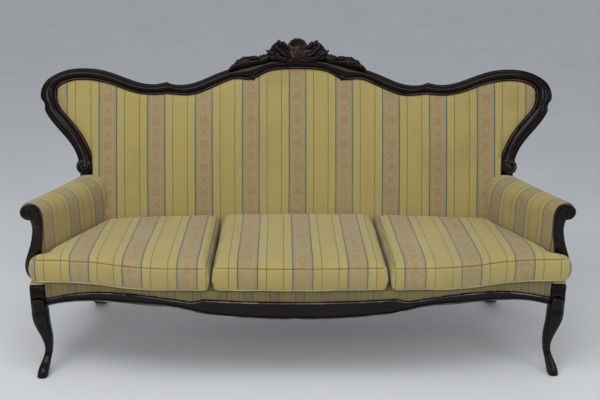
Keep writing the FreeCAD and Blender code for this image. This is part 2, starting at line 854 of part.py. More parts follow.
def oval_boss(x, s, half_x, half_s, d, height):
    """Low oval dome made of ellipses that shrink towards its top."""
    wires = []
    for k, rise in ((1.0, -2.0), (1.0, 0.25 * height), (0.8, 0.7 * height), (0.35, height)):
        wide, tall = half_x * k, half_s * k
        centre = Vector(x, s, d + rise)
        if tall > wide:
            curve = Part.Ellipse(centre + Vector(0, tall, 0), centre + Vector(wide, 0, 0), centre)
        else:
            curve = Part.Ellipse(centre + Vector(wide, 0, 0), centre + Vector(0, tall, 0), centre)
        wires.append(Part.Wire(curve.toShape()))
    return loft(wires, True)


def crest_leaf(crest):
    """Acanthus spray that runs down the crest from the central carving."""
    stations = [(121, 656, 16, 12), (150, 645, 18, 14), (190, 637, 15, 13), (212, 636, 22, 15),
                (235, 633, 23, 14), (262, 620, 16, 11), (290, 605, 7, 5)]
    wires = []
    for x, s, half, rise in stations:
        low = Vector(x, s - half, -6)
        high = Vector(x, s + half, -6)
        low_front = Vector(x, s - half, 12)
        high_front = Vector(x, s + half, 12)
        crown = Vector(x, s, 15 + rise)
        wires.append(Part.Wire([line(high, low), line(low, low_front), gentle(low_front, crown, high_front),
                                line(high_front, high)]))
    return loft(wires).cut([crest, moved(crest, gap, gap)])


# Seat deck
def deck_side_x(y, clear):
    front = (arm_inner_front_x, 0)
    rear = (arm_inner_rear_x, 0)
    return arm_line(front, rear, max(y, facing_back_y))[0] - clear


def deck_outline(z, front_setback, side_clear, rear_d, rear_clear):
    """Seat plan: bowed front, splayed sides and a curved rear line."""
    a, b, c, d, e = bow_points(front_setback)
    x_front = deck_side_x(0, side_clear)
    rear_y = arm_inner_rear_y - 24
    x_rear = deck_side_x(rear_y, side_clear)
    rear_end = Vector(x_rear, min(back_y(x_rear, deck_top_z - 33, rear_d) - rear_clear, rear_y), 0)
    x_rear = deck_side_x(rear_end.y, side_clear)
    rear_end.x = x_rear
    start = Vector(0, a.y, 0)
    front_end = Vector(x_front, e.y, 0)
    jog = Vector(x_front, facing_back_y, 0)
    right = [line(start, a), arc(a, b, c), arc(c, d, e), line(e, front_end), line(front_end, jog),
             line(jog, rear_end)]
    middle_y = back_y(0, deck_top_z - 33, rear_d) - rear_clear
    rear = arc(rear_end, Vector(0, middle_y, 0), Vector(-rear_end.x, rear_end.y, 0))
    edges = right + [mirrored(k) for k in right] + [rear]
    face = Part.Face(Part.Wire(Part.__sortEdges__(edges)))
    face.translate(Vector(0, 0, z))
    return face


def seat_webbing():
    """Front-to-back webs over side-to-side webs, on the tops of the rails."""
    z = rail_top_z + gap
    half = web_width / 2
    face = deck_outline(z, rail_setback + 4, web_side_clear, -ledge_depth - 20, 0)
    long_boxes = [block(-1200, 1200, y - half, y + half, z - 1, z + 9) for y in seat_web_y]
    short_boxes = [block(x - half, x + half, -300, 700, z - 1, z + 9) for x in seat_web_x]
    first = face.extrude(Vector(0, 0, web_thickness)).common(Part.makeCompound(long_boxes))
    face.translate(Vector(0, 0, web_thickness + 0.2))
    second = face.extrude(Vector(0, 0, web_thickness)).common(Part.makeCompound(short_boxes))
    return Part.makeCompound(first.Solids + second.Solids)


def seat_canvas():
    z = rail_top_z + gap + 2 * web_thickness + 0.4
    face = deck_outline(z, rail_setback + 4, web_side_clear, -ledge_depth - 14, 0)
    return face.extrude(Vector(0, 0, canvas_thickness))


def seat_deck_pad():
    """Stuffed seat deck with a pad over each front corner, under the loose cushions."""
    z = rail_top_z + 2 * gap + 2 * web_thickness + 0.4 + canvas_thickness
    deck = deck_outline(z, rail_setback, soft_gap, 0, soft_gap).extrude(Vector(0, 0, deck_top_z - z))
    head = block(leg_inner_x, leg_outer_x + 1, leg_head_front_y + 2, facing_front_y - gap,
                 leg_head_top_z + gap, deck_top_z)
    deck = deck.cut(block(leg_inner_x - gap, 1100, -200, leg_head_back_y + gap, 0, leg_head_top_z + gap))
    deck = deck.cut(mirrored(block(leg_inner_x - gap, 1100, -200, leg_head_back_y + gap, 0,
                                   leg_head_top_z + gap)))
    deck = deck.fuse([head, mirrored(head)]).removeSplitter()
    foot = block(leg_inner_x - 2, 1100, facing_front_y - gap, facing_back_y + gap, 0, deck_top_z + 1)
    return deck.cut(foot).cut(mirrored(foot))


def dust_cover():
    """Thin cloth tacked to the underside of the seat rails."""
    z = rail_bottom_z - gap - canvas_thickness
    face = deck_outline(z, rail_setback + rail_thickness - 10, 26, -ledge_depth - 14, 0)
    return face.extrude(Vector(0, 0, canvas_thickness))


# Loose seat cushions
def cushion_levels(shrink):
    """Height and inset of each outline: drawn-in seams, full boxing and the start of the crown."""
    low = deck_top_z + gap + shrink
    high = seam_z - shrink
    return [
        (low, 8), (low + 10, 2), (low + 42, -2), (high - 12, 1), (high, 4), (high + 9, 13), (high + 15, 25),
    ]


def outer_cushion_wire(z, inset):
    """Plan of a side cushion: bowed front, ear in front of the arm, splayed side, curved back."""
    a, b, c, d, e = bow_points(inset)
    fade = min(1.0, max(0.06, 1 - (inset - 8) / 50))
    ear = (ear_outer_x - arm_inner_front_x + 3) * fade
    r = min(24.0, 0.4 * ear)
    x_in = cushion_joint_x + soft_gap / 2 + 2 + inset
    x_side = arm_inner_front_x - cushion_side_clear - inset
    x_out = x_side + ear
    y_ear = max(ear_back_y - inset, e.y + r + 3)
    y_jog = max(facing_back_y + 2, y_ear + 4)
    slope = (arm_inner_front_x - arm_inner_rear_x) / (arm_inner_rear_y - facing_back_y)

    def side_x(y):
        return x_side - (y - facing_back_y) * slope

    def rear(x):
        return back_y(x, min(z, seam_z)) - soft_gap - 3 - inset

    def at(point):
        return Vector(point.x, point.y, z)

    y_rear = rear(side_x(rear(800)))
    x_rear = side_x(y_rear)
    x_mid = (x_in + x_rear) / 2
    ear_a = Vector(x_out - r, e.y, z)
    ear_corner = Vector(x_out, e.y, z)
    ear_b = Vector(x_out, e.y + r, z)
    ear_c = Vector(x_out, y_ear, z)
    ear_d = Vector(x_side, y_ear, z)
    jog = Vector(x_side, y_jog, z)
    rear_out = Vector(x_rear, y_rear, z)
    rear_in = Vector(x_in, rear(x_in), z)
    front_in = Vector(x_in, a.y, z)
    x_shift = min(e.x, x_out - r - 1)
    bow_out = Vector(x_shift, e.y, z)
    return Part.Wire([
        line(front_in, at(a)), gentle(at(a), at(b), at(c)), gentle(at(c), at(d), bow_out), line(bow_out, ear_a),
        corner_curve(ear_a, ear_corner, ear_b), line(ear_b, ear_c), line(ear_c, ear_d), line(ear_d, jog),
        line(jog, rear_out), gentle(rear_out, Vector(x_mid, rear(x_mid), z), rear_in), line(rear_in, front_in),
    ])


def crown_levels(shrink):
    base = seam_z - shrink
    return [(base + 18, 46), (base + 21.5, 82), (base + crown_height, 118)]


def outer_cushion(shrink):
    levels = cushion_levels(shrink) + crown_levels(shrink)
    return loft([outer_cushion_wire(z, i + shrink) for z, i in levels], True)


def centre_cushion_wire(z, inset):
    x = cushion_joint_x - soft_gap / 2 - 2 - inset
    front = bow_front_y + inset - centre_proud
    side_front = front + centre_bow

    def rear(at):
        return back_y(at, min(z, seam_z)) - soft_gap - 3 - inset

    return Part.Wire([
        arc(Vector(-x, side_front, z), Vector(0, front, z), Vector(x, side_front, z)),
        line(Vector(x, side_front, z), Vector(x, rear(x), z)),
        arc(Vector(x, rear(x), z), Vector(0, rear(0), z), Vector(-x, rear(x), z)),
        line(Vector(-x, rear(x), z), Vector(-x, side_front, z)),
    ])


def centre_cushion(shrink):
    levels = cushion_levels(shrink) + crown_levels(shrink)
    return loft([centre_cushion_wire(z, i + shrink) for z, i in levels], True)


def cushion_cover(make):
    return make(0.0).cut(make(cover_thickness))


# Joint dowels
dowel_places = []


def add_dowel(x, y, z, direction):
    dowel_places.append((Vector(x, y, z), direction))


def seat_dowels():
    """Dowels where the seat rails meet the legs and posts."""
    z_pair = (rail_bottom_z + 14, rail_top_z - 12)
    front_y = bow_end_y + rail_setback + rail_thickness / 2
    rear_y = back_y(post_inner_x, rail_top_z, -ledge_depth - rail_thickness / 2)
    for z in z_pair:
        for k in (-1, 1):
            add_dowel(k * (leg_inner_x - gap / 2), front_y, z, Vector(1, 0, 0))
            add_dowel(k * (post_inner_x - gap / 2), rear_y, z, Vector(1, 0, 0))


def doweled(parts):
    """Bores the dowel holes and adds the dowels as one group."""
    seat_dowels()
    bores = []
    pins = []
    for middle, direction in dowel_places:
        start = middle - direction * (dowel_half_length + 0.5)
        bores.append(Part.makeCylinder(dowel_radius + 0.1, 2 * dowel_half_length + 1, start, direction))
        start = middle - direction * dowel_half_length
        pins.append(Part.makeCylinder(dowel_radius, 2 * dowel_half_length, start, direction))
    tool = Part.makeCompound(bores)
    for name in ("seat_rail_front", "seat_rail_rear", "front_leg_right", "front_leg_left",
                 "rear_leg_right", "rear_leg_left"):
        parts[name] = parts[name].cut(tool)
    parts["joint_dowels"] = Part.makeCompound(pins)


def pair(parts, name, shape):
    parts[name + "_right"] = shape
    parts[name + "_left"] = mirrored(shape)


def build():
    parts = {}
    crest = crest_rail()
    parts["crest_rail"] = to_sofa(crest)
    pair(parts, "ear_rail", to_sofa(ear_rail()))
    pair(parts, "wing_stile", to_sofa(wing_stile()))
    parts["crest_cartouche"] = to_sofa(crest_cartouche(crest))
    pair(parts, "crest_leaf", to_sofa(crest_leaf(crest)))
    parts["back_lower_rail"] = back_lower_rail()
    parts["back_uprights"] = back_uprights(crest)
    parts["back_webbing"] = back_webbing()
    parts["back_canvas"] = back_canvas()
    parts["back_pad"] = back_pad()
    parts["back_outer_cover"] = back_outer_cover()

    parts["front_apron"] = front_apron()
    parts["front_border"] = front_border()
    parts["seat_rail_front"] = front_rail()
    parts["seat_rail_rear"] = rear_rail()
    pair(parts, "seat_rail", side_rail())
    pair(parts, "side_apron", side_apron())
    parts["seat_cross_rails"] = cross_rails()
    parts["corner_blocks"] = corner_blocks()
    pair(parts, "front_leg", front_leg())
    pair(parts, "rear_leg", rear_leg())
    parts["seat_webbing"] = seat_webbing()
    parts["seat_canvas"] = seat_canvas()
    parts["seat_deck_pad"] = seat_deck_pad()
    parts["dust_cover"] = dust_cover()

    pair(parts, "arm_facing", arm_facing())
    pair(parts, "arm_rail", arm_rail())
    pair(parts, "arm_tack_rail", arm_tack_rail())
    pair(parts, "arm_pad", arm_pad())
    pair(parts, "arm_outer_cover", arm_cover())

    pair(parts, "seat_cushion", cushion_cover(outer_cushion))
    pair(parts, "cushion_core", outer_cushion(cover_thickness + gap).common(outer_cushion(cover_thickness)))
    parts["seat_cushion_centre"] = cushion_cover(centre_cushion)
    parts["cushion_core_centre"] = centre_cushion(cover_thickness + gap)
    doweled(parts)
    return parts


def main():
    os.makedirs("parts", exist_ok=True)
    parts = build()
    front = min(s.optimalBoundingBox().YMin for s in parts.values())
    back = max(s.optimalBoundingBox().YMax for s in parts.values())
    shift = Vector(0, -(front + back) / 2, 0)
    for name, shape in parts.items():
        shape.translate(shift)
        shape.exportStep("parts/%s.step" % name)
        print(name, shape.isValid(), len(shape.Solids), round(shape.Volume / 1e3), len(shape.Faces))
    print("depth", round(back - front, 1), "shift", round(shift.y, 2))


main()
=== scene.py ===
import json
import math

import bmesh
import bpy
import numpy as np
from bpy.props import FloatProperty, FloatVectorProperty, PointerProperty
from mathutils import Matrix, Vector, noise
from mathutils.bvhtree import BVHTree

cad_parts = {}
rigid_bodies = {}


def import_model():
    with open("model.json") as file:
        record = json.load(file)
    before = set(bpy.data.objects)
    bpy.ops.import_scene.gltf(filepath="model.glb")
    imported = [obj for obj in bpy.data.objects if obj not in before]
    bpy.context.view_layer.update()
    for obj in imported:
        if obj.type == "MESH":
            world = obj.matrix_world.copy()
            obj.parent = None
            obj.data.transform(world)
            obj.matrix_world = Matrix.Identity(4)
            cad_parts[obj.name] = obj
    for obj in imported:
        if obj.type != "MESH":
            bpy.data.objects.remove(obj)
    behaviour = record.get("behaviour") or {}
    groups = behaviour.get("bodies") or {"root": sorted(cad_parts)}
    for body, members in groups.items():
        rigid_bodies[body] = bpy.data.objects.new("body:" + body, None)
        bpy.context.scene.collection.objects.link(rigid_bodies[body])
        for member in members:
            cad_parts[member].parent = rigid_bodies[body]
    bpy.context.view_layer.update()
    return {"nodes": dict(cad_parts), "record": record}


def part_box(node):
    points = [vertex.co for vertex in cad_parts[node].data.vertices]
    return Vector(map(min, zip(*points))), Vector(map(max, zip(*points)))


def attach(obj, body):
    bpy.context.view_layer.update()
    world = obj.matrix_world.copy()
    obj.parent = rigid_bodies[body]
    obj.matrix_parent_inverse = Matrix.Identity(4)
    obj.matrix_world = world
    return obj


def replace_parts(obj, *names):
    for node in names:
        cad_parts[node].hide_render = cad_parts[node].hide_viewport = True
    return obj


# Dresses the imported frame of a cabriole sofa: polished show wood with carving, a stuffed back,
# rolled arms, three loose cushions in striped cloth, and the stage it is seen on.
# Metres, +Z up, front towards -Y, the same place as the frame.

bl_info = {
    "name": "Cabriole sofa upholstery",
    "version": (1, 0, 0),
    "blender": (4, 5, 0),
    "location": "View3D > Sidebar > Sofa",
    "description": "Wood finish, carving, stuffing, cushions and stage for a cabriole sofa frame",
    "category": "Object",
}

for leftover in list(bpy.data.objects):
    bpy.data.objects.remove(leftover)
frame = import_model()

SIDES = {"right": 1, "left": -1}

# The sofa was set out from a line this far in front of the rear of its arm facings
FACING_REAR = 0.062
FRONT_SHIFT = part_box("arm_facing_right")[1].y - FACING_REAR

# The back's own axes: x across, s up the slope, d forward of its curved shell
LEAN = math.radians(18)
BACK_RADIUS = 5.6
BACK_FOOT = Vector((0, 0.484 + FRONT_SHIFT, 0.465))

# Opening of the back rails: half its width, and the depth where its outline is read
OPENING_HALF = 0.9915
OPENING_DEPTH = -0.006

# Cushions: heights of the top seam and of the lower piping, and where the arm leaves the front
# corner free to spread
SEAM_Z = 0.455
PIPING_Z = 0.3745
CORNER_X = 0.945
CORNER_REACH = 0.058

# How each cushion's stripes lie across it: stretch and offset against the back's stripes
CUSHION_STRIPES = {"left": (0.985, 0.0069), "centre": (0.9925, -0.0084), "right": (0.943, 0.0027)}

# Front leg: height, middle across, middle in depth, half width, half depth
LEG_LEVELS = (
    (0.300, 0.9740, 0.0000, 0.0275, 0.0360), (0.262, 0.9720, -0.0040, 0.0285, 0.0320),
    (0.240, 0.9700, -0.0100, 0.0300, 0.0310), (0.215, 0.9670, -0.0145, 0.0285, 0.0290),
    (0.185, 0.9600, -0.0155, 0.0250, 0.0255), (0.150, 0.9530, -0.0110, 0.0205, 0.0215),
    (0.115, 0.9500, -0.0075, 0.0155, 0.0175), (0.085, 0.9510, -0.0100, 0.0135, 0.0150),
    (0.062, 0.9570, -0.0200, 0.0150, 0.0165), (0.042, 0.9630, -0.0340, 0.0180, 0.0200),
    (0.022, 0.9680, -0.0480, 0.0205, 0.0235), (0.006, 0.9700, -0.0540, 0.0195, 0.0220),
    (0.000, 0.9700, -0.0540, 0.0165, 0.0190),
)
# Its square head: middle across and in depth, half width and half depth, then height and chamfer
LEG_HEAD = (0.975, 0.022, 0.028, 0.040)
LEG_HEAD_LEVELS = ((0.3518, 0.002), (0.3500, 0.0004), (0.2650, 0.0), (0.2625, 0.0012))
# How square its section is: 2 is an oval
LEG_CORNER = 3.2
HEAD_CORNER = 9.0

# Front of the crest's carved blocks
CARVING_DEPTH = 0.026
# Leaves of its middle and of its side sprays: base, bend, tip, half width, height, lobes
CREST_LEAVES = (
    ((0.030, 0.664), (0.062, 0.662), (0.080, 0.692), 0.012, 0.014, 3),
    ((0.034, 0.692), (0.054, 0.700), (0.060, 0.724), 0.010, 0.014, 3),
    ((0.052, 0.676), (0.084, 0.686), (0.100, 0.712), 0.012, 0.015, 3),
    ((0.060, 0.696), (0.070, 0.716), (0.084, 0.729), 0.009, 0.013, 2),
    ((0.034, 0.650), (0.072, 0.648), (0.106, 0.668), 0.010, 0.013, 4),
    ((0.086, 0.662), (0.104, 0.668), (0.117, 0.692), 0.009, 0.013, 2),
    ((0.010, 0.648), (0.026, 0.638), (0.056, 0.644), 0.008, 0.010, 2),
    ((0.094, 0.670), (0.114, 0.672), (0.134, 0.686), 0.010, 0.012, 3),
)
SPRAY_LEAVES = (
    ((0.112, 0.664), (0.140, 0.656), (0.172, 0.654), 0.012, 0.010, 4),
    ((0.160, 0.656), (0.186, 0.650), (0.208, 0.658), 0.010, 0.010, 3),
    ((0.196, 0.646), (0.224, 0.650), (0.240, 0.648), 0.012, 0.011, 3),
    ((0.214, 0.640), (0.246, 0.642), (0.266, 0.628), 0.011, 0.010, 3),
    ((0.236, 0.630), (0.264, 0.622), (0.288, 0.608), 0.009, 0.009, 3),
)
# Tooth where the crest's middle rises from the rails
CREST_TOOTH = ((0.192, 0.594), (0.190, 0.578), (0.1855, 0.5560), 0.014, 0.012, 0.5)


def on_back(x, s, d=0.0):
    """Point of the room from the back's own axes."""
    depth = BACK_RADIUS - math.sqrt((BACK_RADIUS - d) ** 2 - x * x)
    y = BACK_FOOT.y + s * math.sin(LEAN) - depth * math.cos(LEAN)
    z = BACK_FOOT.z + s * math.cos(LEAN) + depth * math.sin(LEAN)
    return Vector((x, y, z))


def in_back(point):
    """The back's own axes for a point of the room."""
    y = point.y - BACK_FOOT.y
    z = point.z - BACK_FOOT.z
    depth = z * math.sin(LEAN) - y * math.cos(LEAN)
    return Vector((
        point.x,
        y * math.sin(LEAN) + z * math.cos(LEAN),
        BACK_RADIUS - math.hypot(BACK_RADIUS - depth, point.x),
    ))


def linear(red, green, blue):
    """Linear colour from the 0 to 255 values of a paint chart."""
    return tuple(((c / 255 + 0.055) / 1.055) ** 2.4 for c in (red, green, blue))


class SofaSizes(bpy.types.PropertyGroup):
    stripe_repeat: FloatProperty(
        name="Stripe repeat", description="Width of cloth from one flowered band to the next",
        default=0.197, unit="LENGTH")
    flower_step: FloatProperty(
        name="Flower step", description="Distance from one large blossom to the next",
        default=0.1, unit="LENGTH")
    stuffing_grid: FloatProperty(
        name="Stuffing grid", description="Cell size of the stuffed pieces before they are softened",
        default=0.007, unit="LENGTH")
    cushion_pressure: FloatProperty(
        name="Cushion pressure", description="How hard the filling pushes against the covers",
        default=4.0)
    piping: FloatProperty(
        name="Piping", description="Radius of the covered cord along the cushions",
        default=0.0036, unit="LENGTH")
    back_crown: FloatProperty(
        name="Back crown", description="Extra fullness in the middle of the stuffed back",
        default=0.004, unit="LENGTH")


class SofaColours(bpy.types.PropertyGroup):
    ground: FloatVectorProperty(
        name="Ground", description="Plain yellow-green bands of the cloth",
        default=linear(166, 152, 90), size=3, subtype="COLOR")
    golden: FloatVectorProperty(
        name="Golden band", description="Wide golden bands of the cloth",
        default=linear(168, 149, 85), size=3, subtype="COLOR")
    flowered: FloatVectorProperty(
        name="Flowered band", description="Ground of the flowered bands",
        default=linear(156, 138, 96), size=3, subtype="COLOR")
    line: FloatVectorProperty(
        name="Line", description="Blue-grey lines beside the flowered bands",
        default=linear(84, 86, 84), size=3, subtype="COLOR")
    blossom: FloatVectorProperty(
        name="Blossom", description="Coral blossoms",
        default=linear(172, 98, 68), size=3, subtype="COLOR")
    leaf: FloatVectorProperty(
        name="Leaf", description="Faded green leaves",
        default=linear(104, 100, 70), size=3, subtype="COLOR")
    wood: FloatVectorProperty(
        name="Show wood", description="Polished dark wood",
        default=linear(17, 9, 8), size=3, subtype="COLOR")
    worn: FloatVectorProperty(
        name="Worn wood", description="Wood where the polish has rubbed through",
        default=linear(104, 70, 48), size=3, subtype="COLOR")
    beech: FloatVectorProperty(
        name="Frame wood", description="Plain wood inside the frame",
        default=linear(190, 150, 102), size=3, subtype="COLOR")


# Meshes
def linked(name, mesh):
    piece = bpy.data.objects.new(name, mesh)
    bpy.context.scene.collection.objects.link(piece)
    return piece


def new_piece(name, points, faces, finish, body="frame"):
    mesh = bpy.data.meshes.new(name)
    mesh.from_pydata([tuple(p) for p in points], [], faces)
    mesh.validate()
    return dressed(linked(name, mesh), finish, body)


def dressed(piece, finish, body="frame"):
    piece.data.materials.clear()
    piece.data.materials.append(material(finish))
    piece.data.shade_smooth()
    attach(piece, body)
    return piece


def settled(piece):
    """Fixes what the modifiers have made of a piece."""
    graph = bpy.context.evaluated_depsgraph_get()
    mesh = bpy.data.meshes.new_from_object(piece.evaluated_get(graph))
    piece.modifiers.clear()
    piece.data = mesh
    return piece


def rounded(piece):
    """Adds one round of subdivision."""
    finer = piece.modifiers.new("finer", "SUBSURF")
    finer.levels = 1
    finer.render_levels = 1
    return piece


def node_copy(node, name):
    """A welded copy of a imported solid, free to be changed."""
    mesh = frame["nodes"][node].data.copy()
    mesh.name = name
    work = bmesh.new()
    work.from_mesh(mesh)
    bmesh.ops.remove_doubles(work, verts=work.verts, dist=1e-5)
    work.to_mesh(mesh)
    work.free()
    if "custom_normal" in mesh.attributes:
        mesh.attributes.remove(mesh.attributes["custom_normal"])
    return linked(name, mesh)


def stuffed_copy(node, name, grid, rounds):
    """An evenly gridded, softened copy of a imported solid."""
    piece = node_copy(node, name)
    remesh = piece.modifiers.new("grid", "REMESH")
    remesh.mode = "VOXEL"
    remesh.voxel_size = grid
    soften = piece.modifiers.new("soften", "SMOOTH")
    soften.factor = 0.5
    soften.iterations = rounds
    return settled(piece)


def read(items, name, width=3, kind=np.float32):
    """One property of all points, corners or faces of a mesh."""
    flat = np.empty(len(items) * width, kind)
    items.foreach_get(name, flat)
    return flat.reshape(-1, width).astype(float) if width > 1 else flat


def places(piece):
    return read(piece.data.vertices, "co")


def outward(piece):
    return read(piece.data.vertex_normals, "vector")


def put(piece, points):
    piece.data.vertices.foreach_set("co", points.astype(np.float32).ravel())
    piece.data.update()


def ripple(points, size, seed):
    """Slow swell between -1 and 1 at each point, the same in each run."""
    shift = Vector((seed * 7.3, seed * 3.1, seed * 5.7))
    return np.array([noise.noise(Vector(p) / size + shift) for p in points])


def plumped(piece, pressure, side_limit, up_limit, frames=20):
    """Lets the filling push the cloth out, and holds each point near where it started."""
    start = places(piece)
    cloth = piece.modifiers.new("cloth", "CLOTH")
    settings = cloth.settings
    settings.quality = 5
    settings.mass = 0.4
    settings.tension_stiffness = 20
    settings.compression_stiffness = 20
    settings.bending_stiffness = 0.8
    settings.use_pressure = True
    settings.uniform_pressure_force = pressure
    settings.effector_weights.gravity = 0
    cloth.point_cache.frame_end = frames
    for number in range(1, frames + 1):
        bpy.context.scene.frame_set(number)
    settled(piece)
    bpy.context.scene.frame_set(1)
    move = places(piece) - start
    reach = np.hypot(move[:, 0], move[:, 1])
    keep = np.minimum(1, side_limit / np.maximum(reach, 1e-9))
    move[:, 0] *= keep
    move[:, 1] *= keep
    move[:, 2] = np.clip(move[:, 2], 0, up_limit)
    put(piece, start + move)


def map_cloth(piece, rule):
    """Stores the cloth's own measure on each corner: across its stripes, along them, plainness."""
    mesh = piece.data
    corners = read(mesh.loops, "vertex_index", 1, np.int32)
    totals = read(mesh.polygons, "loop_total", 1, np.int32)
    facing = np.repeat(read(mesh.polygons, "normal"), totals, axis=0)
    centre = np.repeat(read(mesh.polygons, "center"), totals, axis=0)
    values = rule(places(piece)[corners], facing, centre)
    store = mesh.attributes.new("cloth", "FLOAT_VECTOR", "CORNER")
    store.data.foreach_set("vector", np.stack(values, axis=1).astype(np.float32).ravel())


def ring_faces(rings, sides, closed=False):
    """Faces from each ring of points to the next, with both ends covered where it is open."""
    faces = []
    for i in range(rings if closed else rings - 1):
        near, far = i * sides, (i + 1) % rings * sides
        for k in range(sides):
            following = (k + 1) % sides
            faces.append((near + k, near + following, far + following, far + k))
    if not closed:
        faces.append(tuple(range(sides))[::-1])
        faces.append(tuple(range((rings - 1) * sides, rings * sides)))
    return faces


def grid_faces(lines, across, start=0, flip=False):
    """Faces of a grid of points, given line by line."""
    faces = []
    for i in range(lines - 1):
        for j in range(across - 1):
            a = start + i * across + j
            b = a + across
            faces.append((a, a + 1, b + 1, b) if flip else (a, b, b + 1, a + 1))
    return faces


def plate_faces(lines, across, flip=False):
    """Faces of a closed plate: a grid, a second grid under it and the edge between them."""
    size = lines * across
    rim = list(range(across))
    rim += [i * across + across - 1 for i in range(1, lines)]
    rim += [size - across + j for j in range(across - 2, -1, -1)]
    rim += [i * across for i in range(lines - 2, 0, -1)]
    faces = grid_faces(lines, across, 0, not flip) + grid_faces(lines, across, size, flip)
    for a, b in zip(rim, rim[1:] + rim[:1]):
        faces.append((a, b, b + size, a + size) if flip else (b, a, a + size, b + size))
    return faces


def merged(parts, place, mirrored):
    """Points and faces of many parts as one mesh."""
    points, faces = [], []
    for part_points, part_faces in parts:
        start = len(points)
        points += [place(*p) for p in part_points]
        for face in part_faces:
            faces.append(tuple(start + k for k in (face[::-1] if mirrored else face)))
    return points, faces


def tube(name, points, radii, finish, body="frame", closed=False, sides=8):
    """Round cord or bead along a line of points."""
    count = len(points)
    ring_points = []
    up = None
    for i, point in enumerate(points):
        before = points[i - 1] if closed or i > 0 else point
        after = points[(i + 1) % count] if closed or i < count - 1 else point
        along = (after - before).normalized()
        up = (along.orthogonal() if up is None else up - along * up.dot(along)).normalized()
        side = along.cross(up)
        for k in range(sides):
            angle = 2 * math.pi * k / sides
            ring_points.append(point + (up * math.cos(angle) + side * math.sin(angle)) * radii[i])
    return new_piece(name, ring_points, ring_faces(count, sides, closed), finish, body)


def eased(table, rounds, closed=False):
    """Evens out a line of points between its neighbours; an open line keeps its ends."""
    for _ in range(rounds):
        if closed:
            table = (np.roll(table, 1, 0) + np.roll(table, -1, 0) + 2 * table) / 4
        else:
            table[1:-1] = (table[:-2] + 2 * table[1:-1] + table[2:]) / 4
    return table


def level_line(piece, z, spacing):
    """Closed line where a level plane cuts the outside of a piece, at even spacing."""
    work = bmesh.new()
    work.from_mesh(piece.data)
    geometry = work.verts[:] + work.edges[:] + work.faces[:]
    cut = bmesh.ops.bisect_plane(work, geom=geometry, plane_co=(0, 0, z), plane_no=(0, 0, 1),
                                 clear_inner=True, clear_outer=True)
    left = dict.fromkeys(e for e in cut["geom_cut"] if isinstance(e, bmesh.types.BMEdge))
    loops = []
    while left:
        edge = left.popitem()[0]
        loop = [edge.verts[0], edge.verts[1]]
        while True:
            following = [e for e in loop[-1].link_edges if e in left]
            if not following:
                break
            left.pop(following[0])
            loop.append(following[0].other_vert(loop[-1]))
        loops.append([v.co.copy() for v in loop])
    work.free()
    line = max(loops, key=lambda l: sum((a - b).length for a, b in zip(l, l[1:])))
    if (line[0] - line[-1]).length < 1e-6:
        line = line[:-1]
    ring = np.array([tuple(p) for p in line + [line[0]]])
    even = spaced(ring, spacing)
    return [Vector(p) for p in eased(even, 3, closed=True)]


def spaced(ring, spacing):
    """The same closed line with its points at even distances."""
    lengths = np.concatenate([[0], np.cumsum(np.linalg.norm(np.diff(ring, axis=0), axis=1))])
    count = max(12, round(lengths[-1] / spacing))
    wanted = np.arange(count) * lengths[-1] / count
    return np.stack([np.interp(wanted, lengths, column) for column in ring.T], axis=1)


def surface_tree(node, place=Vector):
    """Search tree of a node's surface, in the axes that place gives."""
    mesh = frame["nodes"][node].data
    points = [place(v.co) for v in mesh.vertices]
    return BVHTree.FromPolygons(points, [tuple(p.vertices) for p in mesh.polygons])


# Materials
class Finish:
    """A material and short ways to add the nodes that it is made of."""

    def __init__(self, name, roughness, **sockets):
        self.material = bpy.data.materials.new(name)
        self.material.use_nodes = True
        self.tree = self.material.node_tree
        self.surface = self.tree.nodes["Principled BSDF"]
        self.surface.inputs["Roughness"].default_value = roughness
        for socket, value in sockets.items():
            self.surface.inputs[socket.replace("_", " ")].default_value = value

    def node(self, kind, inputs=(), **settings):
        made = self.tree.nodes.new(kind)
        for key, value in settings.items():
            setattr(made, key, value)
        for key, value in dict(inputs).items():
            self.feed(made.inputs[key], value)
        return made

    def feed(self, socket, value):
        if isinstance(value, bpy.types.NodeSocket):
            self.tree.links.new(value, socket)
        else:
            socket.default_value = value

    def math(self, operation, a, b=0.0, c=0.0):
        return self.node("ShaderNodeMath", {0: a, 1: b, 2: c}, operation=operation).outputs[0]

    def times(self, a, b):
        return self.math("MULTIPLY", a, b)

    def plus(self, a, b):
        return self.math("ADD", a, b)

    def minus(self, a, b):
        return self.math("SUBTRACT", a, b)

    def rise(self, value, low, high):
        """0 below low, 1 above high, smooth between; low may be the larger."""
        made = self.node("ShaderNodeMapRange", {"Value": value, "From Min": low, "From Max": high},
                         interpolation_type="SMOOTHSTEP")
        return made.outputs["Result"]

    def mix(self, factor, a, b, blend="MIX"):
        return self.node("ShaderNodeMix", {0: factor, 6: tint(a), 7: tint(b)},
                         data_type="RGBA", blend_type=blend).outputs[2]

    def where(self):
        """Place on the object."""
        return self.node("ShaderNodeTexCoord").outputs["Object"]

    def stretched(self, scale, vector=None):
        """A place, that on the object if none is given, stretched for grain."""
        vector = vector or self.where()
        return self.node("ShaderNodeMapping", {"Vector": vector, "Scale": scale}).outputs[0]

    def grain(self, vector, scale, detail=4.0, roughness=0.55):
        settings = {"Vector": vector, "Scale": scale, "Detail": detail, "Roughness": roughness}
        return self.node("ShaderNodeTexNoise", settings).outputs["Fac"]

    def bump(self, height, strength, distance):
        settings = {"Height": height, "Strength": strength, "Distance": distance}
        self.feed(self.surface.inputs["Normal"],
                  self.node("ShaderNodeBump", settings).outputs["Normal"])

    def colour(self, value):
        self.feed(self.surface.inputs["Base Color"], tint(value))

    def roughness(self, value):
        self.feed(self.surface.inputs["Roughness"], value)


def tint(value):
    if isinstance(value, bpy.types.NodeSocket):
        return value
    return (*tuple(value)[:3], 1.0)


def blended(a, share_a, b, share_b):
    return tuple(share_a * one + share_b * other for one, other in zip(a, b))


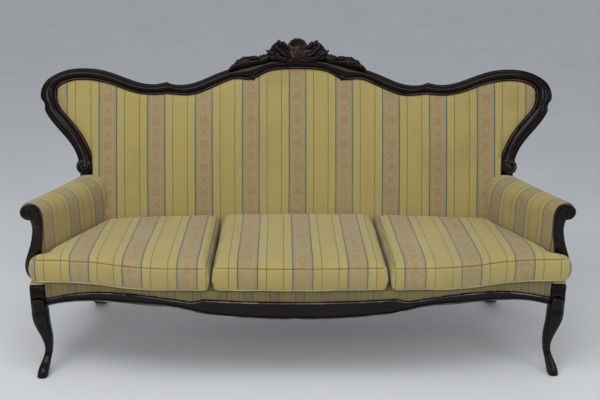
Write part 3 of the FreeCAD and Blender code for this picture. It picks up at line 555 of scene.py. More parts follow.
def striped_cloth(name, lightness, flowers=True):
    """Woven stripes with rows of blossoms, faded and a little soiled."""
    sizes = bpy.context.scene.sofa_sizes
    colours = bpy.context.scene.sofa_colours
    thread, pick = 0.0021, 0.0026
    cloth = Finish(name, 0.86, Sheen_Weight=0.25)
    measure = cloth.node("ShaderNodeAttribute", attribute_name="cloth").outputs["Vector"]
    parts = cloth.node("ShaderNodeSeparateXYZ", {"Vector": measure}).outputs
    where = cloth.where()
    waver = cloth.times(cloth.minus(cloth.grain(where, 9.0), 0.5), 0.004)
    across = cloth.plus(parts["X"], waver)
    along = parts["Y"]
    half = sizes.stripe_repeat / 2
    offset = cloth.math("WRAP", across, half, -half)

    ground, golden = tuple(colours.ground), tuple(colours.golden)
    flowered, line = tuple(colours.flowered), tuple(colours.line)
    olive = blended(golden, 0.3, line, 0.45)
    pale = blended(golden, 0.6, ground, 0.4)
    faint = blended(flowered, 0.6, line, 0.4)
    # Distance from the middle of a flowered band at which each colour begins
    stripes = (
        (0.0, flowered), (0.0255, faint), (0.0267, flowered), (0.0295, faint),
        (0.0307, flowered), (0.0328, line), (0.0374, ground), (0.0660, olive),
        (0.069, golden), (0.0905, pale),
    )
    distance = cloth.math("ABSOLUTE", offset)
    ramp = cloth.node("ShaderNodeValToRGB", {"Fac": cloth.math("DIVIDE", distance, half)})
    ramp.color_ramp.interpolation = "CONSTANT"
    steps = ramp.color_ramp.elements
    while len(steps) < len(stripes):
        steps.new(1.0)
    for step, (start, colour) in zip(steps, stripes):
        step.position = start / half
        step.color = tint(colour)
    shade = ramp.outputs["Color"]
    if flowers:
        shade = with_blossoms(cloth, shade, offset, along, parts["Z"])

    soil = cloth.rise(cloth.grain(where, 3.2, 3.0), 0.46, 0.74)
    shade = cloth.mix(cloth.times(soil, 0.34), shade, linear(124, 106, 70))
    fade = cloth.rise(cloth.grain(where, 1.7, 2.0), 0.4, 0.7)
    shade = cloth.mix(cloth.times(fade, 0.2), shade, linear(196, 182, 124))
    weave = cloth.times(cloth.math("SINE", cloth.times(across, 2 * math.pi / thread)),
                        cloth.math("SINE", cloth.times(along, 2 * math.pi / pick)))
    slub = cloth.grain(cloth.stretched((420.0, 130.0, 1.0), measure), 1.0)
    speckle = cloth.times(cloth.minus(slub, 0.5), 0.5)
    level = cloth.plus(cloth.math("MULTIPLY_ADD", weave, 0.05, 1.0), speckle)
    level = cloth.times(level, lightness)
    grey = cloth.node("ShaderNodeCombineColor", {"Red": level, "Green": level, "Blue": level})
    cloth.colour(cloth.mix(1.0, shade, grey.outputs["Color"], blend="MULTIPLY"))
    cloth.bump(cloth.plus(weave, cloth.times(slub, 3.0)), 0.35, 0.0005)
    return cloth.material


def with_blossoms(cloth, shade, offset, along, plain):
    """Adds a column of large and small blossoms with leaves and a winding stem."""
    colours = bpy.context.scene.sofa_colours
    step = bpy.context.scene.sofa_sizes.flower_step
    where = cloth.where()
    sway = cloth.minus(cloth.grain(where, 75.0, 2.0), 0.5)
    offset = cloth.math("MULTIPLY_ADD", sway, 0.016, offset)
    drift = cloth.minus(cloth.grain(cloth.stretched((66.0, -58.0, 70.0)), 1.0, 2.0), 0.5)
    along = cloth.math("MULTIPLY_ADD", drift, 0.018, along)
    large = cloth.math("WRAP", along, step / 2, -step / 2)
    small = cloth.math("WRAP", cloth.plus(along, step / 2), step / 2, -step / 2)
    patchy = cloth.rise(cloth.grain(where, 260.0, 2.0), 0.3, 0.62)
    shown = cloth.times(cloth.minus(1.0, plain), patchy)

    def petals(rise, radius, count, soft=0.0016):
        squares = cloth.plus(cloth.times(offset, offset), cloth.times(rise, rise))
        wave = cloth.math("COSINE", cloth.times(cloth.math("ARCTAN2", rise, offset), count))
        edge = cloth.math("MULTIPLY_ADD", wave, 0.2 * radius, 0.8 * radius)
        return cloth.rise(cloth.minus(cloth.math("SQRT", squares), edge), soft, -soft)

    def spray(rise, out, up, length, width):
        u = cloth.minus(cloth.math("ABSOLUTE", offset), out)
        v = cloth.minus(cloth.math("ABSOLUTE", rise), up)
        a = cloth.math("DIVIDE", cloth.plus(u, v), length * math.sqrt(2))
        b = cloth.math("DIVIDE", cloth.minus(u, v), width * math.sqrt(2))
        return cloth.rise(cloth.plus(cloth.times(a, a), cloth.times(b, b)), 1.2, 0.8)

    def laid(shade, shape, share, colour):
        return cloth.mix(cloth.times(cloth.times(shape, shown), share), shade, colour)

    bend = cloth.math("SINE", cloth.times(along, 2 * math.pi / step))
    stem_gap = cloth.math("ABSOLUTE", cloth.minus(offset, cloth.times(bend, 0.006)))
    stem = cloth.times(cloth.rise(stem_gap, 0.0016, 0.0007), 0.7)
    leaves = cloth.math("MAXIMUM", spray(large, 0.0135, 0.0135, 0.008, 0.0034),
                        spray(small, 0.009, 0.011, 0.0065, 0.0028))
    blooms = cloth.math("MAXIMUM", petals(large, 0.0145, 5, 0.003),
                        petals(small, 0.0095, 5, 0.0026))
    shade = laid(shade, petals(large, 0.0185, 7, 0.004), 0.45, linear(134, 116, 84))
    shade = laid(shade, cloth.math("MAXIMUM", leaves, stem), 0.5, colours.leaf)
    shade = laid(shade, blooms, 0.68, colours.blossom)
    return laid(shade, petals(large, 0.0055, 4), 0.5, linear(190, 146, 104))


def plain_cloth(name, colour, thread=0.0022, depth=0.0004):
    """Plain woven cloth with slubs."""
    cloth = Finish(name, 0.9, Sheen_Weight=0.2)
    where = cloth.where()
    parts = cloth.node("ShaderNodeSeparateXYZ", {"Vector": where}).outputs
    waves = [cloth.math("SINE", cloth.times(parts[axis], 2 * math.pi / thread)) for axis in "XYZ"]
    weave = cloth.times(waves[0], cloth.plus(waves[1], waves[2]))
    tone = cloth.math("MULTIPLY_ADD", weave, 0.12, cloth.grain(where, 14.0, 5.0))
    cloth.colour(cloth.mix(cloth.rise(tone, 0.25, 0.75), tuple(c * 0.72 for c in colour), colour))
    cloth.bump(weave, 0.4, depth)
    return cloth.material


def polished_wood(name, colour, worn, wear_and_highlight):
    """Dark polished wood with fine grain, brown where the polish has rubbed through; where a pale
    colour is given for that, its edges are painted highlights.
    """
    wood = Finish(name, 0.3, Coat_Weight=0.32, Coat_Roughness=0.05, Specular_IOR_Level=0.04)
    figure = wood.grain(wood.stretched((5.0, 26.0, 26.0)), 3.0, 6.0, 0.6)
    pores = wood.grain(wood.stretched((40.0, 320.0, 320.0)), 2.0, 3.0)
    base = wood.mix(wood.rise(figure, 0.35, 0.7), tuple(c * 0.6 for c in colour),
                    tuple(c * 1.7 for c in colour))
    edge = wood.rise(wood.node("ShaderNodeNewGeometry").outputs["Pointiness"], 0.53, 0.62)
    patches = wood.rise(wood.grain(wood.stretched((9.0, 9.0, 9.0)), 1.0, 5.0), 0.48, 0.62)
    # Pointed edges take the rubbed colour: wear, and a painted highlight where that colour is pale
    wood.colour(wood.mix(wood.times(wood.times(edge, patches), wear_and_highlight), base, worn))
    wood.roughness(wood.math("MULTIPLY_ADD", wood.rise(figure, 0.3, 0.75), 0.14, 0.2))
    wood.bump(wood.plus(pores, wood.times(figure, 2.0)), 0.07, 0.0004)
    return wood.material


def plain_wood(name, colour):
    """Unfinished frame timber with open grain."""
    wood = Finish(name, 0.62)
    rings = wood.grain(wood.stretched((3.0, 34.0, 34.0)), 2.5, 5.0)
    wood.colour(wood.mix(wood.rise(rings, 0.3, 0.7), tuple(c * 0.62 for c in colour), colour))
    wood.bump(rings, 0.25, 0.0008)
    return wood.material


def material(name):
    """The finish of that name, made when it is first asked for."""
    found = bpy.data.materials.get(name)
    if found:
        return found
    colours = bpy.context.scene.sofa_colours
    wood, worn = tuple(colours.wood), tuple(colours.worn)
    maker, *settings = {
        "striped back cloth": (striped_cloth, 0.98),
        # The cushions' striped cloth is set lighter than the back's: painted light on the cushions'
        # upward tops
        "striped cushion cloth": (striped_cloth, 1.08),
        # The front border is the same striped cloth at about half its lightness: painted shade from
        # the cushions above it
        "striped border cloth": (striped_cloth, 0.51, False),
        "yellow outside cloth": (plain_cloth, linear(162, 146, 88)),
        "seam thread": (plain_cloth, linear(124, 108, 62), 0.0016),
        "pale piping": (plain_cloth, linear(190, 178, 122), 0.0016),
        "deck cloth": (plain_cloth, linear(186, 172, 118)),
        "canvas": (plain_cloth, linear(196, 180, 146)),
        "jute webbing": (plain_cloth, linear(158, 130, 88), 0.004, 0.001),
        "black dust cloth": (plain_cloth, linear(44, 44, 46)),
        "polished show wood": (polished_wood, wood, worn, 0.75),
        # The carving's edges turn a pale grey-brown: partly wear, partly a painted highlight on the
        # leaf edges
        "carved show wood": (polished_wood, wood, linear(112, 92, 82), 1.0),
        "brown rosette wood": (polished_wood, linear(50, 28, 22), worn, 0.9),
        "worn edge wood": (polished_wood, linear(60, 45, 37), linear(134, 116, 98), 1.0),
        # Pale grey-lilac beads for the apron edges: painted highlight lines along them
        "rubbed bead wood": (polished_wood, linear(86, 78, 80), linear(168, 162, 168), 1.0),
        # Dark timber for the seat rails: painted shade under the apron
        "stained rail wood": (plain_wood, linear(66, 46, 36)),
        "frame beech": (plain_wood, tuple(colours.beech)),
    }[name]
    return maker(name, *settings)


# Stuffed back
def opening_spans(tree, xs, depth):
    """For each x, the lowest and highest s of the upholstered opening."""
    down = Vector((0, -1, 0))
    spans = []
    for x in xs:
        top = tree.ray_cast(Vector((x, 3.0, depth)), down)[0]
        low = tree.ray_cast(Vector((x, top.y - 1e-4, depth)), down)[0]
        spans.append((low.y, top.y))
    return spans


def opening_grid(tree, half_width, depth, columns, rows):
    """Points (x, s) that fill the opening, denser at its edges."""
    shares = [math.sin((i / columns - 0.5) * math.pi) for i in range(columns + 1)]
    xs = [half_width * (0.35 * k + 0.65 * (2 * i / columns - 1)) for i, k in enumerate(shares)]
    waves = [0.5 - 0.5 * math.cos(math.pi * j / rows) for j in range(rows + 1)]
    steps = [0.5 * k + 0.5 * j / rows for j, k in enumerate(waves)]
    spans = opening_spans(tree, xs, depth)
    return [[(x, low + (top - low) * k) for k in steps] for x, (low, top) in zip(xs, spans)]


def edge_distances(grid):
    """Distance of each grid point from the edge of the grid."""
    points = np.array(grid)
    rim = np.concatenate([points[0], points[-1], points[:, 0], points[:, -1]])
    nearest = [np.sqrt(((rim - point) ** 2).sum(1).min()) for point in points.reshape(-1, 2)]
    return np.array(nearest).reshape(points.shape[:2])


def stuffed_back():
    """Closed stuffed pad that fills the opening, rolled in at the rail and seamed twice."""
    crown = bpy.context.scene.sofa_sizes.back_crown
    tree = surface_tree("back_pad", in_back)
    columns, rows = 300, 96
    seam_x, seam_width, seam_depth = 0.302, 0.006, 0.0035
    roll, tuck, rear = 0.034, -0.008, -0.0185
    swell, crease = 0.0022, 0.0007
    grid = opening_grid(tree, OPENING_HALF, OPENING_DEPTH, columns, rows)
    inward = edge_distances(grid)
    points = []
    for i, column in enumerate(grid):
        for j, (x, s) in enumerate(column):
            hit = tree.ray_cast(Vector((x, s, 0.4)), Vector((0, 0, -1)))[0]
            full = (hit.z if hit else 0.0) + crown
            share = min(1.0, inward[i][j] / roll)
            depth = tuck + (full - tuck) * math.sqrt(1 - (1 - share) ** 2)
            pull = math.exp(-((abs(x) - seam_x) / seam_width) ** 2)
            waves = swell * noise.noise(Vector((x * 5.0, s * 3.0, 1.7)))
            waves += crease * noise.noise(Vector((x * 26.0, s * 2.2, 8.1)))
            points.append(on_back(x, s, depth + (waves - seam_depth * pull) * share))
    points += [on_back(x, s, rear) for column in grid for x, s in column]
    faces = plate_faces(columns + 1, rows + 1, flip=True)
    piece = new_piece("stuffed_back", points, faces, "striped back cloth")

    def upright(where, facing, centre):
        rise = (where[:, 2] - BACK_FOOT.z) / math.cos(LEAN)
        return where[:, 0], rise, np.zeros(len(where))

    map_cloth(piece, upright)
    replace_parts(piece, "back_pad")


def back_sheet(node, name, finish, half_width, depth, slack):
    """Cloth stretched over the curved back, gridded and a little slack."""
    columns, rows = 90, 36
    thickness = 0.001
    taut_edge = 0.08
    grid = opening_grid(surface_tree(node, in_back), half_width, depth, columns, rows)
    inward = edge_distances(grid)
    points = []
    for i, column in enumerate(grid):
        for j, (x, s) in enumerate(column):
            give = slack * min(1.0, inward[i][j] / taut_edge)
            give *= 0.5 + 0.5 * noise.noise(Vector((x * 4.0, s * 4.0, 3.3)))
            points.append(on_back(x, s, depth + give))
    piece = new_piece(name, points, grid_faces(columns + 1, rows + 1), finish)
    skin = piece.modifiers.new("cloth thickness", "SOLIDIFY")
    skin.thickness = thickness
    skin.offset = 0
    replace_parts(piece, node)


# Arms
def stuffed_arm(side):
    """Stuffed arm with its roll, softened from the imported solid, striped across."""
    node = "arm_pad_" + side
    piece = stuffed_copy(node, "stuffed_arm_" + side, bpy.context.scene.sofa_sizes.stuffing_grid, 6)
    swell, held_reach, rear_rise = 0.0012, 0.03, 0.009
    points = places(piece)
    normals = outward(piece)
    low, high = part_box(node)
    ends = np.minimum(points[:, 1] - low.y, high.y - points[:, 1])
    held = np.clip(ends / held_reach, 0, 1)
    points += normals * (swell * ripple(points, 0.16, 2 + SIDES[side]) * held)[:, None]
    rearward = (points[:, 1] - low.y) / (high.y - low.y)
    points[:, 2] += rear_rise * rearward ** 2 * np.clip(normals[:, 2], 0, 1)
    put(piece, points)
    dressed(piece, "striped back cloth")
    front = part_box("arm_facing_right")[1].y
    axis_front = Vector((1.001, front, 0.609))
    axis_rear = Vector((0.885, front + 0.368, 0.598))
    roll_radius, stripe_stretch, stripe_start = 0.036, 1.33, 0.155

    def around(where, facing, centre):
        share = (where[:, 1] - axis_front.y) / (axis_rear.y - axis_front.y)
        sideways = np.abs(where[:, 0]) - (axis_front.x + (axis_rear.x - axis_front.x) * share)
        height = where[:, 2] - (axis_front.z + (axis_rear.z - axis_front.z) * share)
        over = 0.61 + roll_radius * np.arctan2(height, -sideways)
        over = np.where((height > -0.02) | (sideways > 0), over, where[:, 2])
        return (where[:, 1] - front) * stripe_stretch + stripe_start, over, np.zeros(len(where))

    map_cloth(piece, around)
    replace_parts(piece, node)


def loose_sheet(node, name, finish, push):
    """Thin cloth copied from its packed sheet, with a slight waviness along the push."""
    piece = node_copy(node, name)
    work = bmesh.new()
    work.from_mesh(piece.data)
    for _ in range(5):
        long_edges = [e for e in work.edges if e.calc_length() > 0.06]
        if not long_edges:
            break
        bmesh.ops.subdivide_edges(work, edges=long_edges, cuts=1)
        bmesh.ops.triangulate(work, faces=work.faces)
    work.to_mesh(piece.data)
    work.free()
    points = places(piece)
    put(piece, points + np.outer(ripple(points, 0.14, 5) * 0.5 - 0.5, push))
    dressed(piece, finish)
    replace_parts(piece, node)


# Cushions
def seat_cushion(which):
    """Loose boxed cushion: plumped filling, drawn seams, striped panels and piping."""
    sizes = bpy.context.scene.sofa_sizes
    body = "cushion_" + which
    node = "seat_cushion_" + which
    core = "cushion_core_" + which
    piece = stuffed_copy(core, node + "_cover", sizes.stuffing_grid * 1.2, 4)
    plumped(piece, sizes.cushion_pressure, side_limit=0.0016, up_limit=0.009)
    settled(rounded(piece))
    shape_cushion(piece, which)
    dressed(piece, "striped cushion cloth", body)
    plain_boxing = 1.0 if which == "centre" else 0.0
    stretch, offset = CUSHION_STRIPES[which]
    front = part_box(node)[0].y

    def boxed(where, facing, centre):
        upper = centre[:, 2] > SEAM_Z + 0.002
        under = (facing[:, 2] < -0.7) & ~upper
        flank = (np.abs(facing[:, 0]) > np.abs(facing[:, 1])) & ~upper & ~under
        u = np.where(flank, where[:, 1] - front + 0.05, where[:, 0] * stretch + offset)
        v = np.where(upper | under, where[:, 1] - front + 0.03, where[:, 2] - SEAM_Z)
        return u, v, np.where(upper | under, 0.0, plain_boxing)

    map_cloth(piece, boxed)
    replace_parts(piece, node, core)
    # Name, height, spacing, stand-off, radius and sides of each cord, from the lower one up
    middle = None
    for name, z, spacing, out, radius, finish, sides in (
            ("_piping", PIPING_Z, 0.009, 0.0004, sizes.piping, "pale piping", 8),
            ("_top_seam", SEAM_Z + 0.0025, 0.0045, 0.0007, 0.0011, "seam thread", 6)):
        line = level_line(piece, z, spacing)
        middle = middle or sum(line, Vector()) / len(line)
        cord = [p + (p - middle).normalized() * out for p in line]
        tube(node + name, cord, [radius] * len(cord), finish, body,
             closed=True, sides=sides)


def shape_cushion(piece, which):
    """Draws in the seams, adds the cloth's slow waves and spreads the right front corner."""
    points = places(piece)
    normals = outward(piece)
    level = np.abs(normals[:, 2])
    rim = np.clip(1.4 - level * 1.4, 0, 1)
    edge = np.clip(1.9 - level * 1.6, 0, 1)
    seam = np.exp(-((points[:, 2] - SEAM_Z - 0.002) / 0.0035) ** 2) * edge
    hem = np.exp(-((points[:, 2] - PIPING_Z + 0.0005) / 0.004) ** 2) * rim
    soft = ripple(points, 0.11, 11 + len(which)) * 0.0016 + ripple(points, 0.035, 17) * 0.0004
    top = np.clip((points[:, 2] - 0.40) / 0.05, 0, 1)
    points += normals * (soft * (0.35 + 0.65 * top) - 0.0022 * seam - 0.001 * hem)[:, None]
    if which == "right":
        spread = np.clip((points[:, 0] - CORNER_X) / CORNER_REACH, 0, 1)
        points[:, 0] += 0.018 * spread * spread * (3 - 2 * spread)
    put(piece, points)


def softened_piece(node, name, finish, grid, rounds, rule=None):
    """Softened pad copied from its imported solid."""
    piece = stuffed_copy(node, name, grid, rounds)
    points = places(piece)
    put(piece, points + outward(piece) * (ripple(points, 0.09, 21) * 0.0007)[:, None])
    dressed(piece, finish)
    if rule:
        map_cloth(piece, rule)
    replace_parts(piece, node)


# Carving
def leaf(base, bend, tip, width, height, lobes, floor_d, curl=0.0):
    """Curled carved leaf in the back's own axes: a rib, raised halves and scalloped edges."""
    rows, across = 16, 9
    thickness = 0.003
    base, bend, tip = Vector(base), Vector(bend), Vector(tip)
    top, under = [], []
    for i in range(rows + 1):
        t = i / rows
        centre = base * (1 - t) ** 2 + bend * 2 * t * (1 - t) + tip * t * t
        along = ((bend - base) * (1 - t) + (tip - bend) * t).normalized()
        beside = Vector((-along.y, along.x))
        shape = math.sin(math.pi * min(1.0, 0.08 + 0.92 * t)) ** 0.7
        scallop = 1 + 0.22 * math.cos(2 * math.pi * lobes * t)
        half = width * max(0.04, shape * scallop)
        lift = curl * t ** 3
        for j in range(across):
            w = 2 * j / (across - 1) - 1
            place = centre + beside * half * w
            crown = height * (0.35 + 0.65 * shape) * (1 - 0.8 * w * w)
            groove = 0.35 * height * math.exp(-(w / 0.16) ** 2)
            veins = 0.12 * height * math.cos(2 * math.pi * lobes * (t + 0.1 * abs(w))) * abs(w)
            rise = max(0.0004, crown - groove + veins)
            top.append((place.x, place.y, floor_d + rise + lift))
            under.append((place.x, place.y, floor_d - thickness + lift * 0.6))
    return top + under, plate_faces(rows + 1, across)


def boss(x, s, half_x, half_s, floor_d, height, petals=0, depth=0.0):
    """Oval boss, ribbed like petals where they are given."""
    rings, spokes = 9, 40
    points = []
    for i in range(rings + 1):
        share = i / rings
        for k in range(spokes):
            angle = 2 * math.pi * k / spokes
            rib = depth * math.cos(petals * angle)
            reach = math.cos(share * math.pi / 2 * 0.96) * (1 + rib * (1 - share))
            rise = height * math.sin(share * math.pi / 2) * (1 + 0.3 * rib)
            points.append((x + half_x * reach * math.cos(angle),
                           s + half_s * reach * math.sin(angle), floor_d + rise))
    return points, ring_faces(rings + 1, spokes)


def joined_carving(name, parts, finish="carved show wood", sign=1):
    """One carved piece from many leaves given in the back's own axes."""
    points, faces = merged(parts, lambda x, s, d: on_back(x * sign, s, d), sign < 0)
    rounded(new_piece(name, points, faces, finish))


def carved_block(node, name):
    """Softened copy of a carved block, for the leaves to grow from."""
    piece = stuffed_copy(node, name, 0.0028, 4)
    points = places(piece)
    points += outward(piece) * (ripple(points, 0.02, 31) * 0.0012)[:, None]
    # The shell stands free above the block's middle, so the block is a little lower there
    high = np.clip((points[:, 2] - 1.12) / 0.06, 0, 1)
    near = np.clip((0.075 - np.abs(points[:, 0])) / 0.03, 0, 1)
    points[:, 2] -= 0.007 * high * near
    put(piece, points)
    dressed(piece, "carved show wood")
    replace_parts(piece, node)


def crest_carving():
    """Shell, rosette and acanthus leaves over the middle of the crest."""
    carved_block("crest_cartouche", "crest_block")
    for side in SIDES:
        carved_block("crest_leaf_" + side, "crest_spray_block_" + side)
    shell = []
    for k in range(-3, 4):
        angle = math.radians(90 - 22 * k)
        tip = Vector((0.037 * math.cos(angle), 0.702 + 0.035 * math.sin(angle)))
        base = Vector((0.012 * math.cos(angle), 0.696 + 0.010 * math.sin(angle)))
        shell.append(leaf(base, (base + tip) / 2, tip, 0.0075, 0.011, 1, CARVING_DEPTH - 0.003,
                          0.004))
    joined_carving("crest_shell", shell)
    joined_carving("crest_rosette", [
        boss(0, 0.680, 0.033, 0.036, CARVING_DEPTH - 0.001, 0.006, 14, 0.08),
        boss(0, 0.680, 0.0225, 0.0265, CARVING_DEPTH + 0.003, 0.011),
        boss(0, 0.681, 0.009, 0.0115, CARVING_DEPTH + 0.0125, 0.005, 5, 0.2),
    ], "brown rosette wood")
    for side, sign in SIDES.items():
        middle = [leaf(*shape, CARVING_DEPTH - 0.003, 0.004) for shape in CREST_LEAVES]
        joined_carving("crest_leaves_" + side, middle, sign=sign)
        # The sprays lie lower towards their tips
        spray = [leaf(*shape, CARVING_DEPTH - 0.006 - 0.022 * (shape[2][0] - 0.11), 0.003)
                 for shape in SPRAY_LEAVES]
        joined_carving("crest_spray_" + side, spray, sign=sign)


def leg_at(z):
    """Middle and half sizes of the front leg at a height."""
    heights, *measures = zip(*LEG_LEVELS[::-1])
    return [np.interp(z, heights, measure) for measure in measures]


def leg_ring(z, x, y, half_x, half_y, corner=LEG_CORNER, sides=32):
    """Points of a rounded square at a height."""
    ring = []
    for k in range(sides):
        c, s = math.cos(2 * math.pi * k / sides), math.sin(2 * math.pi * k / sides)
        ring.append((x + half_x * math.copysign(abs(c) ** (2 / corner), c),
                     y + half_y * math.copysign(abs(s) ** (2 / corner), s), z))
    return ring


def skinned(rings):
    """Closed skin over rings that run downwards."""
    faces = ring_faces(len(rings), len(rings[0]))
    return [p for ring in rings for p in ring], [face[::-1] for face in faces]


def knee_leaf():
    """Carved leaf that hangs over the knee of the leg."""
    rows, across = 22, 9
    top_z, length, half_width = 0.304, 0.112, 0.0185
    top, under = [], []
    for i in range(rows + 1):
        t = i / rows
        z = top_z - length * t
        x, y, half_x, half_y = leg_at(z)
        scallop = 1 + 0.16 * math.cos(2 * math.pi * 3.5 * t)
        shape = math.sin(math.pi * (0.12 + 0.88 * t)) ** 0.6 * scallop
        for j in range(across):
            w = 2 * j / (across - 1) - 1
            out = half_width * max(0.05, shape) * w
            bulge = (1 - min(0.98, abs(out) / half_x) ** LEG_CORNER) ** (1 / LEG_CORNER)
            skin = y - half_y * bulge
            rise = 0.0036 * (1 - 0.7 * w * w) - 0.0018 * math.exp(-(w / 0.15) ** 2)
            top.append((x + out, skin - max(0.0004, rise), z))
            under.append((x + out, skin + 0.003, z))
    return top + under, plate_faces(rows + 1, across)


def front_leg(side, sign):
    """Curved front leg with its square head, knee leaf and scrolled toe."""
    heights = np.concatenate([np.linspace(0.300, 0.012, 46), [0.006, 0.002, 0.0]])
    levels = np.array([leg_at(z) for z in heights])
    eased(levels[:-2], 3)
    x, y, half_x, half_y = LEG_HEAD
    parts = [
        skinned([leg_ring(z, *level) for z, level in zip(heights, levels)]),
        skinned([leg_ring(z, x, y, half_x - cut, half_y - cut, HEAD_CORNER, 48)
                 for z, cut in LEG_HEAD_LEVELS]),
        knee_leaf(),
    ]
    points, faces = merged(parts, lambda x, y, z: (sign * x, y + FRONT_SHIFT, z), sign < 0)
    piece = new_piece("front_leg_carved_" + side, points, faces, "polished show wood")
    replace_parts(piece, "front_leg_" + side)
    toe_x, toe_y, toe_z, toe_reach = 0.969, -0.0735, 0.020, 0.0125
    scroll("toe_scroll_" + side, 1.4, (toe_reach, 0.004), 40, 200, 1, (0.0028, 0.001984),
           lambda u, v, reach: Vector((sign * (toe_x + u),
                                       FRONT_SHIFT + toe_y + 0.004 * reach / toe_reach, toe_z + v)))


def scroll(name, turns, reaches, steps, start, way, radii_at_ends, place):
    """Bead that winds in from the first reach to the second, and thins as it goes."""
    first, last = reaches
    thick, thin = radii_at_ends
    points, radii = [], []
    for i in range(steps + 1):
        t = i / steps
        inward = t ** 0.85
        reach = first + (last - first) * inward
        turn = math.radians(start) + way * 2 * math.pi * turns * t
        points.append(place(reach * math.cos(turn), reach * math.sin(turn), reach))
        radii.append(thick + (thin - thick) * inward)
    tube(name, points, radii, "carved show wood")


def carved_scrolls():
    """Raised scroll lines on the arm facings and on the wing stiles."""
    facing_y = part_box("arm_facing_right")[1].y - 0.0235
    facing_x, facing_z = 1.0, 0.617
    stile_x, stile_s, stile_d = 0.882, 0.195, 0.0105
    for side, sign in SIDES.items():
        scroll("arm_scroll_line_" + side, 1.55, (0.0225, 0.0085), 64, 150, -1, (0.0027, 0.0014),
               lambda u, v, reach: Vector((sign * (facing_x + u), facing_y, facing_z + v)))
        scroll("wing_scroll_line_" + side, 1.7, (0.030, 0.011), 64, 100, 1, (0.0032, 0.0016),
               lambda u, v, reach: on_back(sign * (stile_x + u), stile_s + v, stile_d))


def rail_edges():
    """Worn line along the inner bead of the back rails, and a tooth at each inner cusp."""
    bead_out, bead_depth, bead_radius = 0.004, 0.0046, 0.0017
    grid = opening_grid(surface_tree("back_pad", in_back), OPENING_HALF, OPENING_DEPTH, 300, 1)
    right = [column for column in grid if column[0][0] > 0]
    line = [column[0] for column in right if column[0][1] > 0.17]
    line += [column[-1] for column in right[::-1]]
    line += [(-x, s) for x, s in line[::-1]]
    flat = np.array(line)
    run = np.concatenate([[0], np.cumsum(np.hypot(*(flat[1:] - flat[:-1]).T))])
    even = np.arange(0, run[-1], 0.007)
    flat = eased(np.stack([np.interp(even, run, flat[:, k]) for k in (0, 1)], axis=1), 2)
    along = np.gradient(flat, axis=0)
    along /= np.hypot(along[:, 0], along[:, 1])[:, None]
    beside = np.stack([along[:, 1], -along[:, 0]], axis=1)
    outer = np.sign(((flat - np.array([0.0, 0.25])) * beside).sum(1).mean())
    points = [on_back(x, s, bead_depth) for x, s in flat + beside * outer * bead_out]
    tube("rail_worn_bead", points, [bead_radius] * len(points), "worn edge wood")
    for side, sign in SIDES.items():
        joined_carving("crest_tooth_" + side, [leaf(*CREST_TOOTH, -0.002)], "polished show wood",
                       sign)


def apron_edges():
    """Pale beads on the upper and lower edges of the front apron, coloured as painted highlight
    lines.
    """
    tree = surface_tree("front_apron")
    low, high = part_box("front_apron")
    inset, radius = 0.001, 0.0017
    edges = {"upper": [], "lower": []}
    for x in np.linspace(low.x + 0.006, high.x - 0.006, 235):
        hits = [tree.ray_cast(Vector((x, low.y - 0.2, z)), Vector((0, 1, 0)))[0]
                for z in np.arange(low.z, high.z, 0.001)]
        hits = [hit for hit in hits if hit]
        edges["lower"].append(hits[0] + Vector((0, 0.0002, inset)))
        edges["upper"].append(hits[-1] + Vector((0, 0.0002, -inset)))
    for name, line in edges.items():
        points = [Vector(p) for p in eased(np.array([tuple(p) for p in line]), 3)]
        tube("apron_%s_edge" % name, points, [radius] * len(points), "rubbed bead wood", sides=6)


# Stage
def floor_finish():
    floor = Finish("pale floor", 0.75)
    tone = floor.rise(floor.grain(floor.where(), 1.2, 4.0), 0.3, 0.7)
    floor.colour(floor.mix(tone, (0.76, 0.77, 0.79), (0.80, 0.81, 0.82)))
    return floor.material


def area_light(name, place, target, size, power, colour):
    data = bpy.data.lights.new(name, "AREA")
    data.shape = "RECTANGLE"
    data.size, data.size_y = size
    data.energy = power
    data.color = colour
    lamp = linked(name, data)
    lamp.location = place
    lamp.rotation_euler = (Vector(target) - Vector(place)).to_track_quat("-Z", "Y").to_euler()


def studio_world():
    """Soft even light, and a pale ground where the camera looks past the floor."""
    world = bpy.data.worlds.new("studio")
    world.use_nodes = True
    nodes, links = world.node_tree.nodes, world.node_tree.links
    nodes.clear()
    path = nodes.new("ShaderNodeLightPath")
    seen = nodes.new("ShaderNodeMath")
    seen.operation = "MAXIMUM"
    links.new(path.outputs["Is Camera Ray"], seen.inputs[0])
    links.new(path.outputs["Is Transmission Ray"], seen.inputs[1])
    choose = nodes.new("ShaderNodeMixShader")
    links.new(seen.outputs[0], choose.inputs[0])
    for slot, (colour, strength) in enumerate((((0.93, 0.96, 1.0, 1), 0.42),
                                               ((0.93, 0.945, 0.97, 1), 1.0)), start=1):
        light = nodes.new("ShaderNodeBackground")
        light.inputs["Color"].default_value = colour
        light.inputs["Strength"].default_value = strength
        links.new(light.outputs[0], choose.inputs[slot])
    out = nodes.new("ShaderNodeOutputWorld")
    links.new(choose.outputs[0], out.inputs["Surface"])
    bpy.context.scene.world = world


def camera():
    """The photograph's view: a little to the left of the middle, looking down."""
    pitch, yaw, roll = math.radians(18.40), math.radians(1.33), math.radians(0.41)
    place = Vector((-0.068, -2.881 + FRONT_SHIFT, 1.643))
    ahead = Vector((math.sin(yaw) * math.cos(pitch), math.cos(yaw) * math.cos(pitch),
                    -math.sin(pitch)))
    level = Vector((math.cos(yaw), -math.sin(yaw), 0))
    upward = level.cross(ahead)
    right = level * math.cos(roll) + upward * math.sin(roll)
    upward = upward * math.cos(roll) - level * math.sin(roll)
    data = bpy.data.cameras.new("camera")
    data.sensor_width = 36
    data.lens = 50.4
    seen = linked("camera", data)
    turn = Matrix((right, upward, -ahead)).transposed()
    seen.matrix_world = Matrix.Translation(place) @ turn.to_4x4()
    bpy.context.scene.camera = seen


